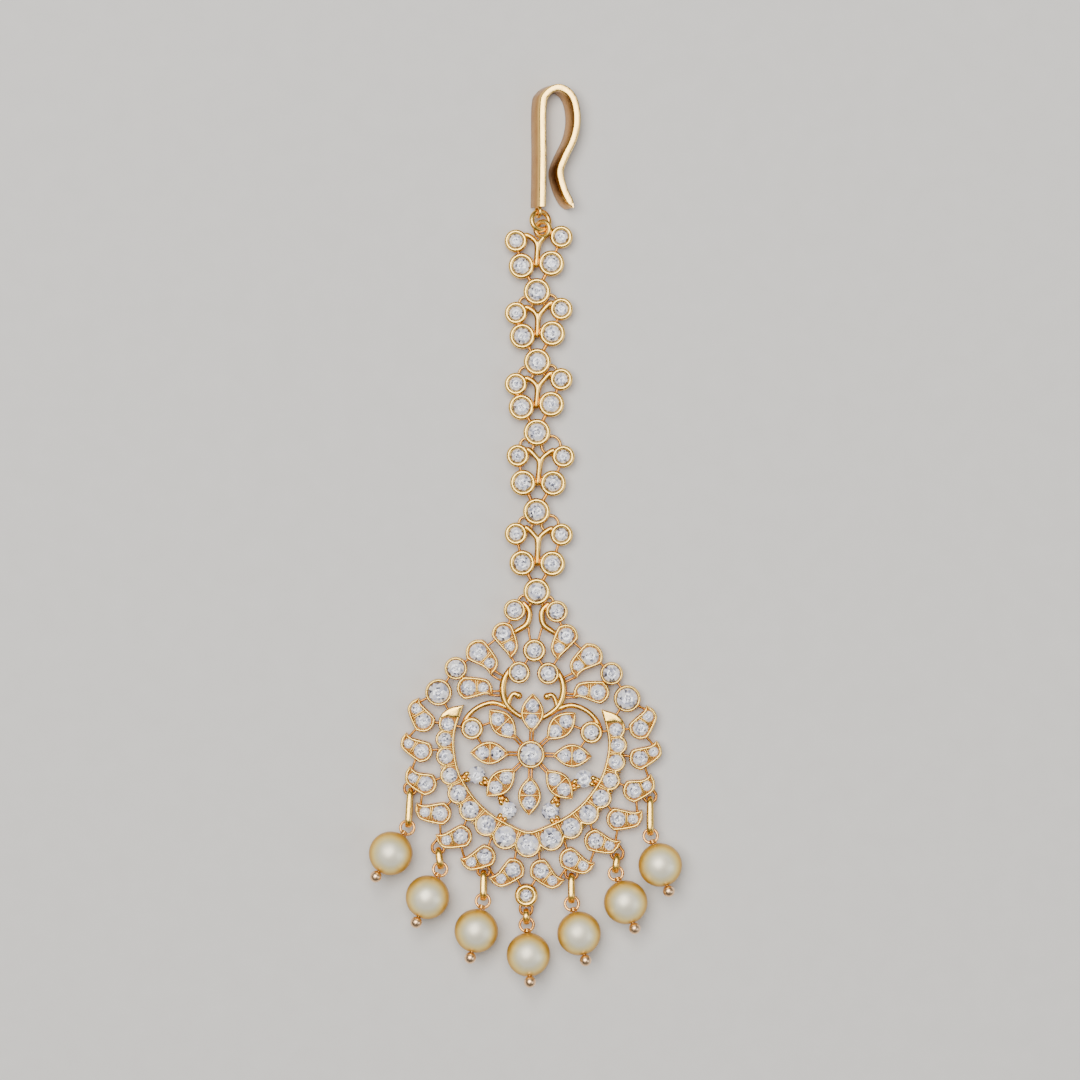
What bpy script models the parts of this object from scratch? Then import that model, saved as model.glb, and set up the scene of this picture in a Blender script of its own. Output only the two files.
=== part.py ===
"""A maang tikka: a hair hook, a chain of five hinged units and a pendant with seven pearl drops.

The jewel lies face up. Metres, +Z up, +Y from the pendant to the hook. The origin is the centre of the
pendant's flower, on the surface that the jewel lies on.
"""

import math

import bmesh
import bpy
from mathutils import Matrix, Vector

MM = 0.001

# Pendant
PENDANT_WIDTH = 35.0 * MM
PENDANT_TURN = math.radians(-1.9)  # how far it has turned as it lies
TURN = Matrix.Rotation(PENDANT_TURN, 4, "Z")
STRUT_RADIUS = 0.17 * MM  # wires between the settings
PETAL_WIDTH = 3.2 * MM
MANGO_RIM = 0.52 * MM  # metal round the stones of a mango setting
CRESCENT_RIM = 0.36 * MM  # metal round the stones of the crescent
SCROLL_WIRE = 0.46 * MM  # radius of the scrolls at their thickest

# Heights above the surface
SETTING_TOP = 2.30 * MM  # crest of the rims
RELIEF = 0.30 * MM  # how far the crests stand above the flat settings
STONE_SINK = 0.12 * MM  # how deep a stone stands in a flat setting
HINGE_SPACE = 1.00 * MM  # room for a hinge under the raised bezels
STRUT_LEVEL = 1.30 * MM

# Chain
UNIT_LENGTH = 10.0 * MM
HINGE_RISE = 3.0 * MM  # of a single bezel above the pair that it is hinged to
SINGLE_BEZEL = 1.88 * MM
LARGE_BEZEL = 1.79 * MM
SMALL_BEZEL = 1.58 * MM
LARGE_SPACING = 4.12 * MM
SMALL_SPACING = 6.24 * MM
STEM_RADIUS = 0.38 * MM
STEM_LEVEL = SETTING_TOP - RELIEF - STEM_RADIUS
CHAIN_BEZEL_WALL = 0.54 * MM
CHAIN_WIRE = 0.20 * MM  # radius of the wires between the bezels
HINGE_RING_WIRE = 0.20 * MM  # radius
STAPLE_WIRE = 0.15 * MM  # radius
STAPLE_ROOT = 0.30 * MM  # how deep a staple stands in its bezel
HINGE_SINK = 0.10 * MM  # how far a staple stands in from its bezel's edge
TOP_LOOP_RADIUS = 1.02 * MM
TOP_LOOP_WIRE = 0.33 * MM  # radius
TOP_LOOP_TILT = math.radians(-24.0)
TOP_LOOP_LEVEL = 1.60 * MM

# Hook
HOOK_LENGTH = 16.30 * MM
HOOK_SPAN = 4.77 * MM
HOOK_THICKNESS = 0.96 * MM
HOOK_DEPTH = 2.80 * MM
HOOK_LEAN = math.radians(24.0)  # the strip stands on its edge and leans to the right
HOOK_EYE_RADIUS = 0.72 * MM
HOOK_EYE_WIRE = 0.22 * MM  # radius
HOOK_EYE_LEFT = 0.62 * MM  # of the top loop's centre
HOOK_RING_WIRE = 0.32 * MM  # radius
HOOK_RING_TILT = math.radians(26.0)

# Drops
PEARL_DIAMETER = 6.0 * MM
BALL_RADIUS = 0.72 * MM
PIN_WIRE = 0.16 * MM  # radius
PIN_LOOP_RADIUS = 0.95 * MM
PIN_NECK = 0.30 * MM  # wound stretch between pearl and loop
DROP_RING_HEIGHT = 1.86 * MM  # between the wire's centres
DROP_RING_WIRE = 0.25 * MM  # half of the wire's height
DROP_RING_BREADTH = 0.47 * MM  # half of the wire's breadth
EYE_WIRE = 0.20 * MM  # radius of the eyes on the pendant's edge
EYE_LEVEL = DROP_RING_HEIGHT / 2.0 + DROP_RING_WIRE + 0.07 * MM  # a little above the surface at its lowest
CLEAR = 0.14 * MM  # left free between pieces that link

# Sides of the round shapes
BEZEL_SIDES = 10
STONE_SIDES = 8
RING_SEGMENTS = 10
WIRE_SIDES = 5
STRUT_SIDES = 3  # a ridge on top, flat below
CHAIN_WIRE_SIDES = 4

# A stone's shape, as shares of its girdle radius
TABLE_SHARE = 0.58
CROWN_SHARE = 0.32

# The pendant's tables are in 35ths of its width, from the flower's centre
GRID = PENDANT_WIDTH / 35.0

# name, x, y, radius of the bezel, radius of its stone, on both sides of the middle
ROUND_PAIRS = (
    ("top", 2.89, 19.70, 1.54, 1.04),
    ("inner", 2.01, 11.17, 1.55, 1.04),
    ("outer", 10.68, 11.45, 1.58, 1.17),
    ("shoulder", 12.94, 8.07, 1.86, 1.43),
    ("arc", 8.19, 3.28, 1.57, 1.00),
)

# name, y, radius of the bezel, radius of its stone, on the middle
ROUND_MIDDLE = (
    ("crown", 14.27, 1.59, 1.00),
    ("flower", 0.00, 1.95, 1.49),
    ("foot", -19.36, 1.60, 0.80),
)

# Mango settings on the right, from the top round to the foot: large stone x, y, radius, small stone x, y,
# radius, tip x, y
MANGOES = (
    (4.31, 16.42, 1.08, 3.41, 14.74, 0.73, 3.30, 13.00),
    (7.68, 13.75, 1.22, 6.10, 12.36, 0.74, 5.88, 10.63),
    (8.90, 8.82, 1.07, 6.83, 8.93, 0.74, 5.57, 7.98),
    (14.90, 4.13, 1.07, 15.87, 5.73, 0.77, 15.63, 7.23),
    (15.01, -0.04, 1.02, 16.79, 0.95, 0.69, 17.22, 2.45),
    (14.32, -4.49, 1.06, 16.00, -3.75, 0.71, 16.54, -2.13),
    (12.20, -8.50, 1.06, 14.28, -8.37, 0.72, 15.51, -7.15),
    (9.25, -11.56, 1.06, 11.19, -12.11, 0.70, 12.72, -11.44),
    (5.90, -14.19, 1.06, 7.67, -15.00, 0.72, 9.26, -14.62),
    (1.92, -15.91, 1.06, 3.51, -17.17, 0.70, 5.23, -17.02),
)

# x, y, radius of the crescent's stones, from the horn to the middle
CRESCENT = (
    (11.56, 3.77, 0.92),
    (11.86, 1.67, 0.96),
    (11.67, -0.67, 1.00),
    (11.01, -3.22, 1.03),
    (9.78, -5.66, 1.16),
    (8.08, -7.87, 1.22),
    (5.81, -9.82, 1.30),
    (3.13, -11.38, 1.45),
    (0.00, -12.36, 1.47),
)
CRESCENT_HORN = (9.44, 6.46)

# Petals: their number, the distances of both tips and of both stones from the centre, a stone's radius
PETAL_COUNT = 8
PETAL_INNER_TIP = 3.05
PETAL_OUTER_TIP = 8.35
PETAL_STONES = (4.60, 6.65)
PETAL_STONE_RADIUS = 0.95

# x, y, radius of the stones that only prongs hold, and the settings that their prongs reach
PRONG_STONES = (
    (7.39, -3.10, 1.22, (11.01, -3.90), (5.00, -5.00)),
    (2.93, -7.70, 1.23, (4.60, -10.40), (4.20, -5.20)),
)

# Scrolls on the right: x, y, and the share of the scroll wire's radius at each point
LYRE = (
    (3.30, 11.60, 0.70), (3.98, 10.20, 0.95), (4.17, 8.90, 1.0), (3.95, 7.60, 1.0),
    (3.40, 6.55, 0.95), (2.60, 5.80, 0.85), (1.55, 5.10, 0.75),
)
LYRE_CURL = (
    (3.40, 6.45, 0.75), (3.22, 7.30, 0.75), (2.85, 8.05, 0.75), (2.45, 8.22, 0.78), (1.95, 8.00, 0.85),
)
SIDE_ARC = (
    (3.50, 6.35, 0.75), (5.00, 6.86, 0.78), (6.25, 6.75, 0.78), (7.70, 6.05, 0.78),
    (8.85, 4.90, 0.78), (9.45, 3.60, 0.75),
)
COMMA = (
    (1.70, 20.70, 0.65), (0.98, 19.90, 0.85), (0.84, 18.90, 0.90), (1.23, 17.75, 0.90),
    (2.60, 16.80, 0.80),
)

# Straight wires on the right: from x, y to x, y
STRUTS = (
    ((2.89, 19.70), (4.31, 16.42)), ((4.31, 16.42), (7.68, 13.75)), ((0.90, 17.30), (0.30, 14.60)),
    ((3.41, 13.60), (2.01, 11.17)), ((0.00, 14.27), (2.01, 11.17)), ((7.68, 13.75), (10.68, 11.45)),
    ((5.90, 11.20), (3.80, 10.10)), ((10.68, 11.45), (12.94, 8.07)),
    ((10.68, 11.45), (8.90, 8.82)), ((6.10, 8.20), (4.00, 8.25)),
    ((12.94, 8.07), (15.70, 6.60)), ((12.94, 8.07), (10.80, 4.60)), ((15.00, 4.00), (16.90, 1.70)),
    ((15.40, -0.20), (16.30, -2.80)), ((14.60, -4.80), (14.90, -7.60)), ((12.40, -8.70), (12.00, -11.60)),
    ((9.40, -11.80), (8.60, -14.60)), ((6.00, -14.40), (4.40, -17.00)), ((1.92, -15.91), (0.00, -19.36)),
    ((14.90, 4.13), (11.56, 3.77)), ((15.01, -0.04), (11.80, 0.30)), ((14.32, -4.49), (11.01, -3.22)),
    ((12.20, -8.50), (9.78, -5.66)), ((9.25, -11.56), (8.08, -7.87)), ((5.90, -14.19), (4.70, -10.60)),
    ((1.92, -15.91), (1.40, -12.00)), ((8.19, 3.28), (11.56, 3.77)), ((8.19, 3.28), (5.00, 4.40)),
    ((8.19, 3.28), (6.40, 0.60)),
)

# Drops, from the left: eye x, y on the pendant's grid and its heading in degrees; the pearl's centre from the
# eye in millimetres; the pin's lean, and how far it dips towards its loop, in degrees
DROPS = (
    (-16.38, -5.40, 183.0, -2.34, -8.71, 31.0, 15.0),
    (-12.30, -13.40, 180.0, -1.19, -6.54, 22.6, 15.0),
    (-5.95, -16.30, 180.0, -0.72, -8.02, 10.7, 15.0),
    (0.05, -21.40, 180.0, 0.52, -5.95, -5.4, 20.0),
    (6.10, -16.30, 180.0, 1.30, -7.91, -15.7, 15.0),
    (12.30, -13.40, 180.0, 1.34, -6.34, -21.0, 15.0),
    (16.55, -5.40, 178.0, 1.64, -9.08, -20.0, 15.0),
)

# Chain units from the bottom up: rise of the single bezel above the pair that it is hinged to, as a share of
# the hinge's rise; its x, the rise of the large pair and of the small pair above it, and the drift of each
# pair to the right, as shares of the unit's length; the slope of the pairs in degrees
CHAIN_UNITS = (
    (0.873, 0.081, 0.389, 0.788, 0.007, 0.027, -1.0),
    (1.030, 0.078, 0.393, 0.762, 0.020, 0.055, -1.1),
    (1.083, 0.084, 0.367, 0.696, -0.009, 0.022, 5.9),
    (0.907, 0.088, 0.370, 0.696, 0.000, 0.019, 5.2),
    (0.887, 0.084, 0.370, 0.723, -0.008, 0.022, 5.0),
)

# The fork and arms of a unit's stem, on the right, in shares of the small bezel's radius: the fork from the
# middle of the small pair, an arm's start and bend from the small bezel, and its end from the fork
FORK = (-0.063, -0.316)
ARM_FROM_BEZEL = ((-0.57, 0.443), (-0.95, 0.506))
ARM_FROM_FORK = (0.392, 0.316)
TOP_LOOP_FROM_FORK = (0.418, 1.171)

# The hook's line from the foot, as shares of its span and its length
HOOK_LINE = (
    (0.00, 0.00), (0.02, 0.40), (0.02, 0.84), (0.14, 0.95), (0.46, 1.00), (0.77, 0.96), (0.94, 0.87),
    (1.00, 0.72), (0.90, 0.57), (0.66, 0.42), (0.52, 0.31), (0.55, 0.22), (0.66, 0.12), (0.78, 0.05),
)

COLOURS = {
    "gold": ((0.85, 0.55, 0.24, 1.0), 0.28, 1.0),
    "rose_gold": ((0.80, 0.42, 0.22, 1.0), 0.30, 1.0),
    "stone": ((0.86, 0.87, 0.92, 1.0), 0.05, 0.0),
    "pearl": ((0.88, 0.72, 0.44, 1.0), 0.22, 0.0),
}


def clear_scene():
    for obj in list(bpy.data.objects):
        bpy.data.objects.remove(obj, do_unlink=True)


def new_collection(name):
    made = bpy.data.collections.new(name)
    bpy.context.scene.collection.children.link(made)
    return made


def make_material(name):
    colour, roughness, metallic = COLOURS[name]
    material = bpy.data.materials.new(name)
    material.use_nodes = True
    shader = material.node_tree.nodes["Principled BSDF"]
    shader.inputs["Base Color"].default_value = colour
    shader.inputs["Roughness"].default_value = roughness
    shader.inputs["Metallic"].default_value = metallic
    material.diffuse_color = colour
    return material


clear_scene()
JEWEL = new_collection("maang_tikka")
SHAPES = new_collection("shapes")
MATERIALS = {name: make_material(name) for name in COLOURS}
SETTING_SLOTS = ("gold", "stone")


def put(mesh, slots=SETTING_SLOTS, slot=0):
    """A shape to be fused: a mesh object whose faces are all of one slot."""
    obj = bpy.data.objects.new("shape", mesh)
    SHAPES.objects.link(obj)
    mesh.materials.clear()
    for name in slots:
        mesh.materials.append(MATERIALS[name])
    for face in mesh.polygons:
        face.material_index = slot
    return obj


def tidied(mesh):
    """Welds a curve's caps and turns all faces outward."""
    work = bmesh.new()
    work.from_mesh(mesh)
    bmesh.ops.remove_doubles(work, verts=work.verts, dist=0.001 * MM)
    bmesh.ops.recalc_face_normals(work, faces=work.faces)
    work.to_mesh(mesh)
    work.free()
    return mesh


def baked(source):
    """The evaluated object as a plain mesh in world space; the source is removed."""
    bpy.context.view_layer.update()
    graph = bpy.context.evaluated_depsgraph_get()
    mesh = bpy.data.meshes.new_from_object(source.evaluated_get(graph))
    mesh.transform(source.matrix_world)
    bpy.data.objects.remove(source, do_unlink=True)
    return tidied(mesh)


def turned(profile, sides, x, y):
    """A turned shape about the vertical through x, y; profile lists radius and height from the top down."""
    mesh = bpy.data.meshes.new("profile")
    points = [(radius, 0.0, height) for radius, height in profile]
    mesh.from_pydata(points, [(i, i + 1) for i in range(len(points) - 1)], [])
    obj = bpy.data.objects.new("profile", mesh)
    SHAPES.objects.link(obj)
    obj.location = (x, y, 0.0)
    screw = obj.modifiers.new("turn", "SCREW")
    screw.steps = screw.render_steps = sides
    screw.use_merge_vertices = True
    screw.merge_threshold = 0.01 * MM
    return baked(obj)


def curve_object(points, dimensions, radii=None, closed=False):
    curve = bpy.data.curves.new("line", "CURVE")
    curve.dimensions = dimensions
    spline = curve.splines.new("POLY")
    spline.points.add(len(points) - 1)
    for i, point in enumerate(points):
        x, y, z = (*point, 0.0)[:3]
        spline.points[i].co = (x, y, z, 1.0)
        spline.points[i].radius = radii[i] if radii else 1.0
    spline.use_cyclic_u = closed
    obj = bpy.data.objects.new("line", curve)
    SHAPES.objects.link(obj)
    return obj


def plate(outline, low, high):
    """A flat outline extruded from one height to another."""
    obj = curve_object(outline, "2D", closed=True)
    obj.data.fill_mode = "BOTH"
    obj.data.extrude = (high - low) / 2.0
    obj.location.z = (high + low) / 2.0
    return baked(obj)


def rod(points, wire, radii=None, closed=False, resolution=1):
    """A wire of round section along the points."""
    obj = curve_object(points, "3D", radii, closed)
    obj.data.bevel_depth = wire
    obj.data.bevel_resolution = resolution
    obj.data.use_fill_caps = not closed
    return baked(obj)


def strut(start, end, wire, sides=STRUT_SIDES):
    """A straight wire between two points."""
    start, end = Vector(start), Vector(end)
    along = end - start
    work = bmesh.new()
    bmesh.ops.create_cone(
        work, cap_ends=True, segments=sides, radius1=wire, radius2=wire, depth=along.length,
        matrix=Matrix.Translation((start + end) / 2.0) @ along.to_track_quat("Z", "Y").to_matrix().to_4x4())
    mesh = bpy.data.meshes.new("strut")
    work.to_mesh(mesh)
    work.free()
    return mesh


def ring(radius, wire, place=Matrix.Identity(4), segments=RING_SEGMENTS, sides=WIRE_SIDES):
    bpy.ops.mesh.primitive_torus_add(
        major_segments=segments, minor_segments=sides, major_radius=radius, minor_radius=wire)
    obj = bpy.context.object
    obj.matrix_world = place
    return baked(obj)


def ball(radius, centre, segments, rings):
    work = bmesh.new()
    bmesh.ops.create_uvsphere(
        work, u_segments=segments, v_segments=rings, radius=radius, matrix=Matrix.Translation(centre))
    mesh = bpy.data.meshes.new("ball")
    work.to_mesh(mesh)
    work.free()
    return mesh


def combine(body, others, operation):
    """The exact union or difference of one object and several, as a mesh."""
    group = bpy.data.collections.new("operands")
    SHAPES.children.link(group)
    for obj in others:
        SHAPES.objects.unlink(obj)
        group.objects.link(obj)
    boolean = body.modifiers.new("combine", "BOOLEAN")
    boolean.operation = operation
    boolean.solver = "EXACT"
    boolean.operand_type = "COLLECTION"
    boolean.collection = group
    mesh = baked(body)
    for obj in others:
        bpy.data.objects.remove(obj, do_unlink=True)
    bpy.data.collections.remove(group)
    return mesh


def fused(shapes):
    return combine(shapes[0], shapes[1:], "UNION") if len(shapes) > 1 else shapes[0].data


def node(name, mesh, slots=SETTING_SLOTS, parent=None):
    """One finished piece of the jewel."""
    obj = bpy.data.objects.new(name, mesh)
    JEWEL.objects.link(obj)
    if not mesh.materials:
        for slot in slots:
            mesh.materials.append(MATERIALS[slot])
    mesh.name = name
    mesh.set_sharp_from_angle(angle=math.radians(35.0))
    obj.parent = parent
    return obj


def smooth(points, steps):
    """Points on a smooth curve through the given ones, with their other columns carried along."""
    rows = [Vector(p) for p in points]
    rows = [rows[0] * 2.0 - rows[1], *rows, rows[-1] * 2.0 - rows[-2]]
    made = []
    for i in range(1, len(rows) - 2):
        p0, p1, p2, p3 = rows[i - 1:i + 3]
        for step in range(steps):
            t = step / steps
            made.append(0.5 * (2.0 * p1 + (p2 - p0) * t + (2.0 * p0 - 5.0 * p1 + 4.0 * p2 - p3) * t * t
                               + (3.0 * p1 - p0 - 3.0 * p2 + p3) * t ** 3))
    return [*made, rows[-2]]


def polar(angle, radius, centre=(0.0, 0.0)):
    return Vector((centre[0] + radius * math.cos(angle), centre[1] + radius * math.sin(angle)))


# Settings

def bezel(x, y, outer, stone, low=0.0, sides=BEZEL_SIDES):
    """A round bezel with its stone: table, crown, and a rim that rises round them."""
    girdle = SETTING_TOP - RELIEF
    crest = stone + 0.75 * (outer - stone)
    table = girdle + CROWN_SHARE * stone
    profile = (
        (0.0, table), (TABLE_SHARE * stone, table), (stone, girdle), (crest, SETTING_TOP), (outer, low),
        (0.0, low))
    obj = put(turned(profile, sides, x, y))
    for face in obj.data.polygons:
        from_axis = math.hypot(face.center.x - x, face.center.y - y)
        is_stone = face.center.z > low + RELIEF and from_axis < stone and face.normal.z > 0.5
        face.material_index = 1 if is_stone else 0
    return obj


def cut_stone(x, y, radius, floor):
    """A stone set in a flat setting: its crown and table stand above the metal."""
    slope = (1.0 - TABLE_SHARE) / CROWN_SHARE
    top = floor + CROWN_SHARE * radius
    work = bmesh.new()
    bmesh.ops.create_cone(
        work, cap_ends=True, segments=STONE_SIDES, radius1=radius + STONE_SINK * slope,
        radius2=TABLE_SHARE * radius, depth=top - floor + STONE_SINK,
        matrix=Matrix.Translation((x, y, (top + floor - STONE_SINK) / 2.0)))
    mesh = bpy.data.meshes.new("stone")
    work.to_mesh(mesh)
    work.free()
    return put(mesh, slot=1)


def mango_outline(large, large_radius, small, small_radius, tip):
    """A paisley outline: round head, one full side, one hollow side and a pointed tip."""
    axis = (small - large).normalized()
    to_tip = (tip - small).normalized()
    turn = 1.0 if axis.cross(to_tip) > 0.0 else -1.0
    full, waist, end = (Vector((d.y, -d.x)).normalized() * turn for d in (axis, axis + to_tip, to_tip))
    head = large_radius + MANGO_RIM
    neck = small_radius + 0.9 * MANGO_RIM
    half_way = (small + tip) / 2.0
    arc = [large + (full * math.cos(a) - axis * math.sin(a)) * head
           for a in (math.radians(10.0 + 40.0 * step) for step in range(5))]
    return [tip, half_way + end * 0.66 * neck, small + waist * neck, *arc,
            small - waist * 0.93 * neck, half_way - end * 0.42 * neck]


def mango(row, side):
    lx, ly, lr, sx, sy, sr, tx, ty = row
    large = Vector((side * lx, ly)) * GRID
    small = Vector((side * sx, sy)) * GRID
    tip = Vector((side * tx, ty)) * GRID
    floor = SETTING_TOP - RELIEF
    body = put(plate(mango_outline(large, lr * GRID, small, sr * GRID, tip), 0.0, floor))
    return [body, cut_stone(*large, lr * GRID, floor), cut_stone(*small, sr * GRID, floor)]


def petal(index):
    """A marquise petal with two stones and the short wire that holds it to the centre."""
    heading = math.pi / 2.0 + index * 2.0 * math.pi / PETAL_COUNT
    along = polar(heading, 1.0)
    across = Vector((-along.y, along.x))
    inner, outer = PETAL_INNER_TIP * GRID, PETAL_OUTER_TIP * GRID
    steps = 5
    edge = []
    for step in range(1, steps):
        share = step / steps
        edge.append((inner + (outer - inner) * share, PETAL_WIDTH / 2.0 * math.sin(math.pi * share) ** 0.8))
    outline = [along * inner, *(along * a + across * b for a, b in edge), along * outer,
               *(along * a - across * b for a, b in reversed(edge))]
    floor = SETTING_TOP - RELIEF
    stones = [cut_stone(*(along * r * GRID), PETAL_STONE_RADIUS * GRID, floor) for r in PETAL_STONES]
    stem = put(strut((0.0, 0.0, STRUT_LEVEL), (*(along * (inner + GRID)), STRUT_LEVEL), 1.6 * STRUT_RADIUS))
    return [put(plate(outline, 0.0, floor)), *stones, stem]


def crescent():
    """The crescent: a lobe round each stone outside, one even edge inside, and a plain horn at each end."""
    right = [Vector((x, y, r)) * GRID for x, y, r in CRESCENT]
    left = [Vector((-p.x, p.y, p.z)) for p in right[:-1]]
    stones = [*right, *reversed(left)]
    outer_edge, inner_edge = [], []
    for i, stone in enumerate(stones):
        before, after = stones[max(i - 1, 0)], stones[min(i + 1, len(stones) - 1)]
        along = Vector((after.x - before.x, after.y - before.y)).normalized()
        out = Vector((along.y, -along.x))
        out = out if out.dot(stone.xy) > 0.0 else -out
        reach = stone.z + CRESCENT_RIM
        for lean in (-44.0, 0.0, 44.0):
            angle = math.radians(lean)
            outer_edge.append(stone.xy + (out * math.cos(angle) + along * math.sin(angle)) * reach)
        inner_edge.append(stone.xy - out * reach)
    horn = Vector(CRESCENT_HORN) * GRID
    outline = [horn, *outer_edge, Vector((-horn.x, horn.y)), *reversed(inner_edge)]
    floor = SETTING_TOP - RELIEF
    return [put(plate(outline, 0.0, floor)), *(cut_stone(s.x, s.y, s.z, floor) for s in stones)]


def prong_stone(row, side):
    """A stone that two prongs hold between the crescent and a petal."""
    x, y, radius, outward, inward = row
    x, y, radius = side * x * GRID, y * GRID, radius * GRID
    girdle = SETTING_TOP - 2.0 * RELIEF
    top = girdle + CROWN_SHARE * radius
    foot = girdle - 0.7 * radius
    profile = ((0.0, top), (TABLE_SHARE * radius, top), (radius, girdle), (0.35 * radius, foot), (0.0, foot))
    stone = put(turned(profile, 10, x, y), slot=1)
    shapes = [stone]
    for far in (outward, inward):
        end = Vector((side * far[0], far[1])) * GRID
        shapes.append(put(strut((x, y, STRUT_LEVEL), (*end, STRUT_LEVEL), 2.0 * STRUT_RADIUS)))
    return shapes


def scroll(rows, side):
    level = SETTING_TOP - RELIEF - SCROLL_WIRE
    points = [(side * x * GRID, y * GRID, level) for x, y, _ in rows]
    return put(rod(points, SCROLL_WIRE, [share for _, _, share in rows]))


def scrolls(side):
    made = [scroll(rows, side) for rows in (LYRE, LYRE_CURL, SIDE_ARC, COMMA)]
    end = LYRE_CURL[-1]
    centre = (side * end[0] * GRID, end[1] * GRID, SETTING_TOP - RELIEF - SCROLL_WIRE)
    made.append(put(ball(1.15 * SCROLL_WIRE, centre, 8, 4)))
    return made


# Links

def staple(centre, along, level):
    """A wire arch under a raised bezel, round the hinge ring's wire that crosses at the centre."""
    half = HINGE_RING_WIRE + CLEAR + STAPLE_WIRE
    root = HINGE_SPACE + STAPLE_ROOT
    section = ((half, root), (half, level - half), (-half, level - half), (-half, root))
    points = [(centre.x + along.x * a, centre.y + along.y * a, z) for a, z in section]
    return rod(points, STAPLE_WIRE, resolution=0)


def hinge(upper, upper_radius, lower, lower_radius):
    """One ring that hinges two bezels, and the staple under each: ring mesh, upper staple, lower staple."""
    between = lower - upper
    along = between.normalized()
    gap = between.length - upper_radius - lower_radius
    middle = upper + along * (upper_radius + gap / 2.0)
    arch = HINGE_RING_WIRE + CLEAR + STAPLE_WIRE
    radius = gap / 2.0 + HINGE_SINK + arch
    level = arch + STAPLE_WIRE
    mesh = ring(radius, HINGE_RING_WIRE, Matrix.Translation((*middle, level)))
    return mesh, staple(middle - along * radius, along, level), staple(middle + along * radius, along, level)


def drop_eye(row):
    """A wire eye on the pendant's edge for a drop's long ring."""
    x, y, heading = row[0] * GRID, row[1] * GRID, math.radians(row[2])
    out = Vector((math.sin(heading), math.cos(heading)))
    across = Vector((out.y, -out.x))
    half = DROP_RING_BREADTH + CLEAR + EYE_WIRE
    reach = DROP_RING_WIRE + CLEAR + EYE_WIRE
    section = ((-2.2 * reach, 0.25 * half), (-0.8 * reach, half), (0.3 * reach, half), (reach, 0.4 * half),
               (reach, -0.4 * half), (0.3 * reach, -half), (-0.8 * reach, -half), (-2.2 * reach, -0.25 * half))
    centre = Vector((x, y))
    points = [(*(centre + out * a + across * b), EYE_LEVEL) for a, b in section]
    return put(rod(points, EYE_WIRE, resolution=0))


def turned_point(x, y):
    """A point of the pendant's grid where it lies once the pendant has turned."""
    return (TURN @ Vector((x * GRID, y * GRID, 0.0))).xy


def chain_rows():
    """The chain's units from the top down: places of the single bezel, the pairs, and the fork."""
    rows, pair_height = [], ROUND_PAIRS[0][2] * GRID
    for rise, x, rise_large, rise_small, drift_large, drift_small, slope in CHAIN_UNITS:
        single = Vector((x * UNIT_LENGTH, pair_height + rise * HINGE_RISE))
        lean = polar(math.radians(slope), 1.0)
        large = single + Vector((drift_large, rise_large)) * UNIT_LENGTH
        small = single + Vector((drift_small, rise_small)) * UNIT_LENGTH
        rows.insert(0, {
            "single": single,
            "large": [large + lean * s * LARGE_SPACING / 2.0 for s in (-1, 1)],
            "small": [small + lean * s * SMALL_SPACING / 2.0 for s in (-1, 1)],
            "fork": small + Vector(FORK) * SMALL_BEZEL,
            "foot": large,
        })
        pair_height = small.y
    return rows


def unit_shapes(row, is_top):
    """The bezels, stem and short wires of one chain unit."""
    wall = CHAIN_BEZEL_WALL
    shapes = [put_bezel(row["single"], SINGLE_BEZEL, wall, HINGE_SPACE)]
    for i, side in enumerate((-1, 1)):
        small, large, fork = row["small"][i], row["large"][i], row["fork"]
        shapes.append(put_bezel(large, LARGE_BEZEL, wall, 0.0))
        shapes.append(put_bezel(small, SMALL_BEZEL, wall, 0.0 if is_top else HINGE_SPACE))
        arm = [small + Vector((side * x, y)) * SMALL_BEZEL for x, y in ARM_FROM_BEZEL]
        arm += [fork + Vector((side * ARM_FROM_FORK[0], ARM_FROM_FORK[1])) * SMALL_BEZEL, fork]
        shapes.append(put(rod([(*p, STEM_LEVEL) for p in arm], STEM_RADIUS)))
        for start, end, wire in ((small, large, CHAIN_WIRE), (large, row["single"], 1.25 * CHAIN_WIRE)):
            shapes.append(put(strut((*start, STRUT_LEVEL), (*end, STRUT_LEVEL), wire, CHAIN_WIRE_SIDES)))
    stem = [row["fork"] + Vector((0.0, 0.6 * STEM_RADIUS)), row["fork"], row["foot"]]
    shapes.append(put(rod([(*p, STEM_LEVEL) for p in stem], STEM_RADIUS)))
    return shapes


def put_bezel(centre, outer, wall, low):
    return bezel(centre.x, centre.y, outer, outer - wall, low)


def build_chain(pendant_shapes):
    """The units, their hinge rings, and the staples that the pendant carries."""
    rows = chain_rows()
    carried = [[] for _ in rows]
    top_pair = ROUND_PAIRS[0]
    for number, row in enumerate(rows, start=1):
        last = number == len(rows)
        for i, side in enumerate((-1, 1)):
            if last:
                lower, lower_radius = turned_point(side * top_pair[1], top_pair[2]), top_pair[3] * GRID
            else:
                lower, lower_radius = rows[number]["small"][i], SMALL_BEZEL
            mesh, upper_staple, lower_staple = hinge(row["single"], SINGLE_BEZEL, lower, lower_radius)
            node(f"hinge_ring_{number}_{('left', 'right')[i]}", mesh, ("gold",))
            carried[number - 1].append(put(upper_staple))
            if last:
                lower_staple.transform(TURN.inverted())
                pendant_shapes.append(put(lower_staple))
            else:
                carried[number].append(put(lower_staple))
    for number, row in enumerate(rows, start=1):
        shapes = unit_shapes(row, number == 1) + carried[number - 1]
        if number == 1:
            shapes.append(put(ring(TOP_LOOP_RADIUS, TOP_LOOP_WIRE, top_loop_place(row))))
        node(f"chain_unit_{number}", fused(shapes))
    return rows[0]


def top_loop_place(row):
    centre = row["fork"] + Vector(TOP_LOOP_FROM_FORK) * SMALL_BEZEL
    return Matrix.Translation((*centre, TOP_LOOP_LEVEL)) @ Matrix.Rotation(TOP_LOOP_TILT, 4, "Y")


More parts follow.
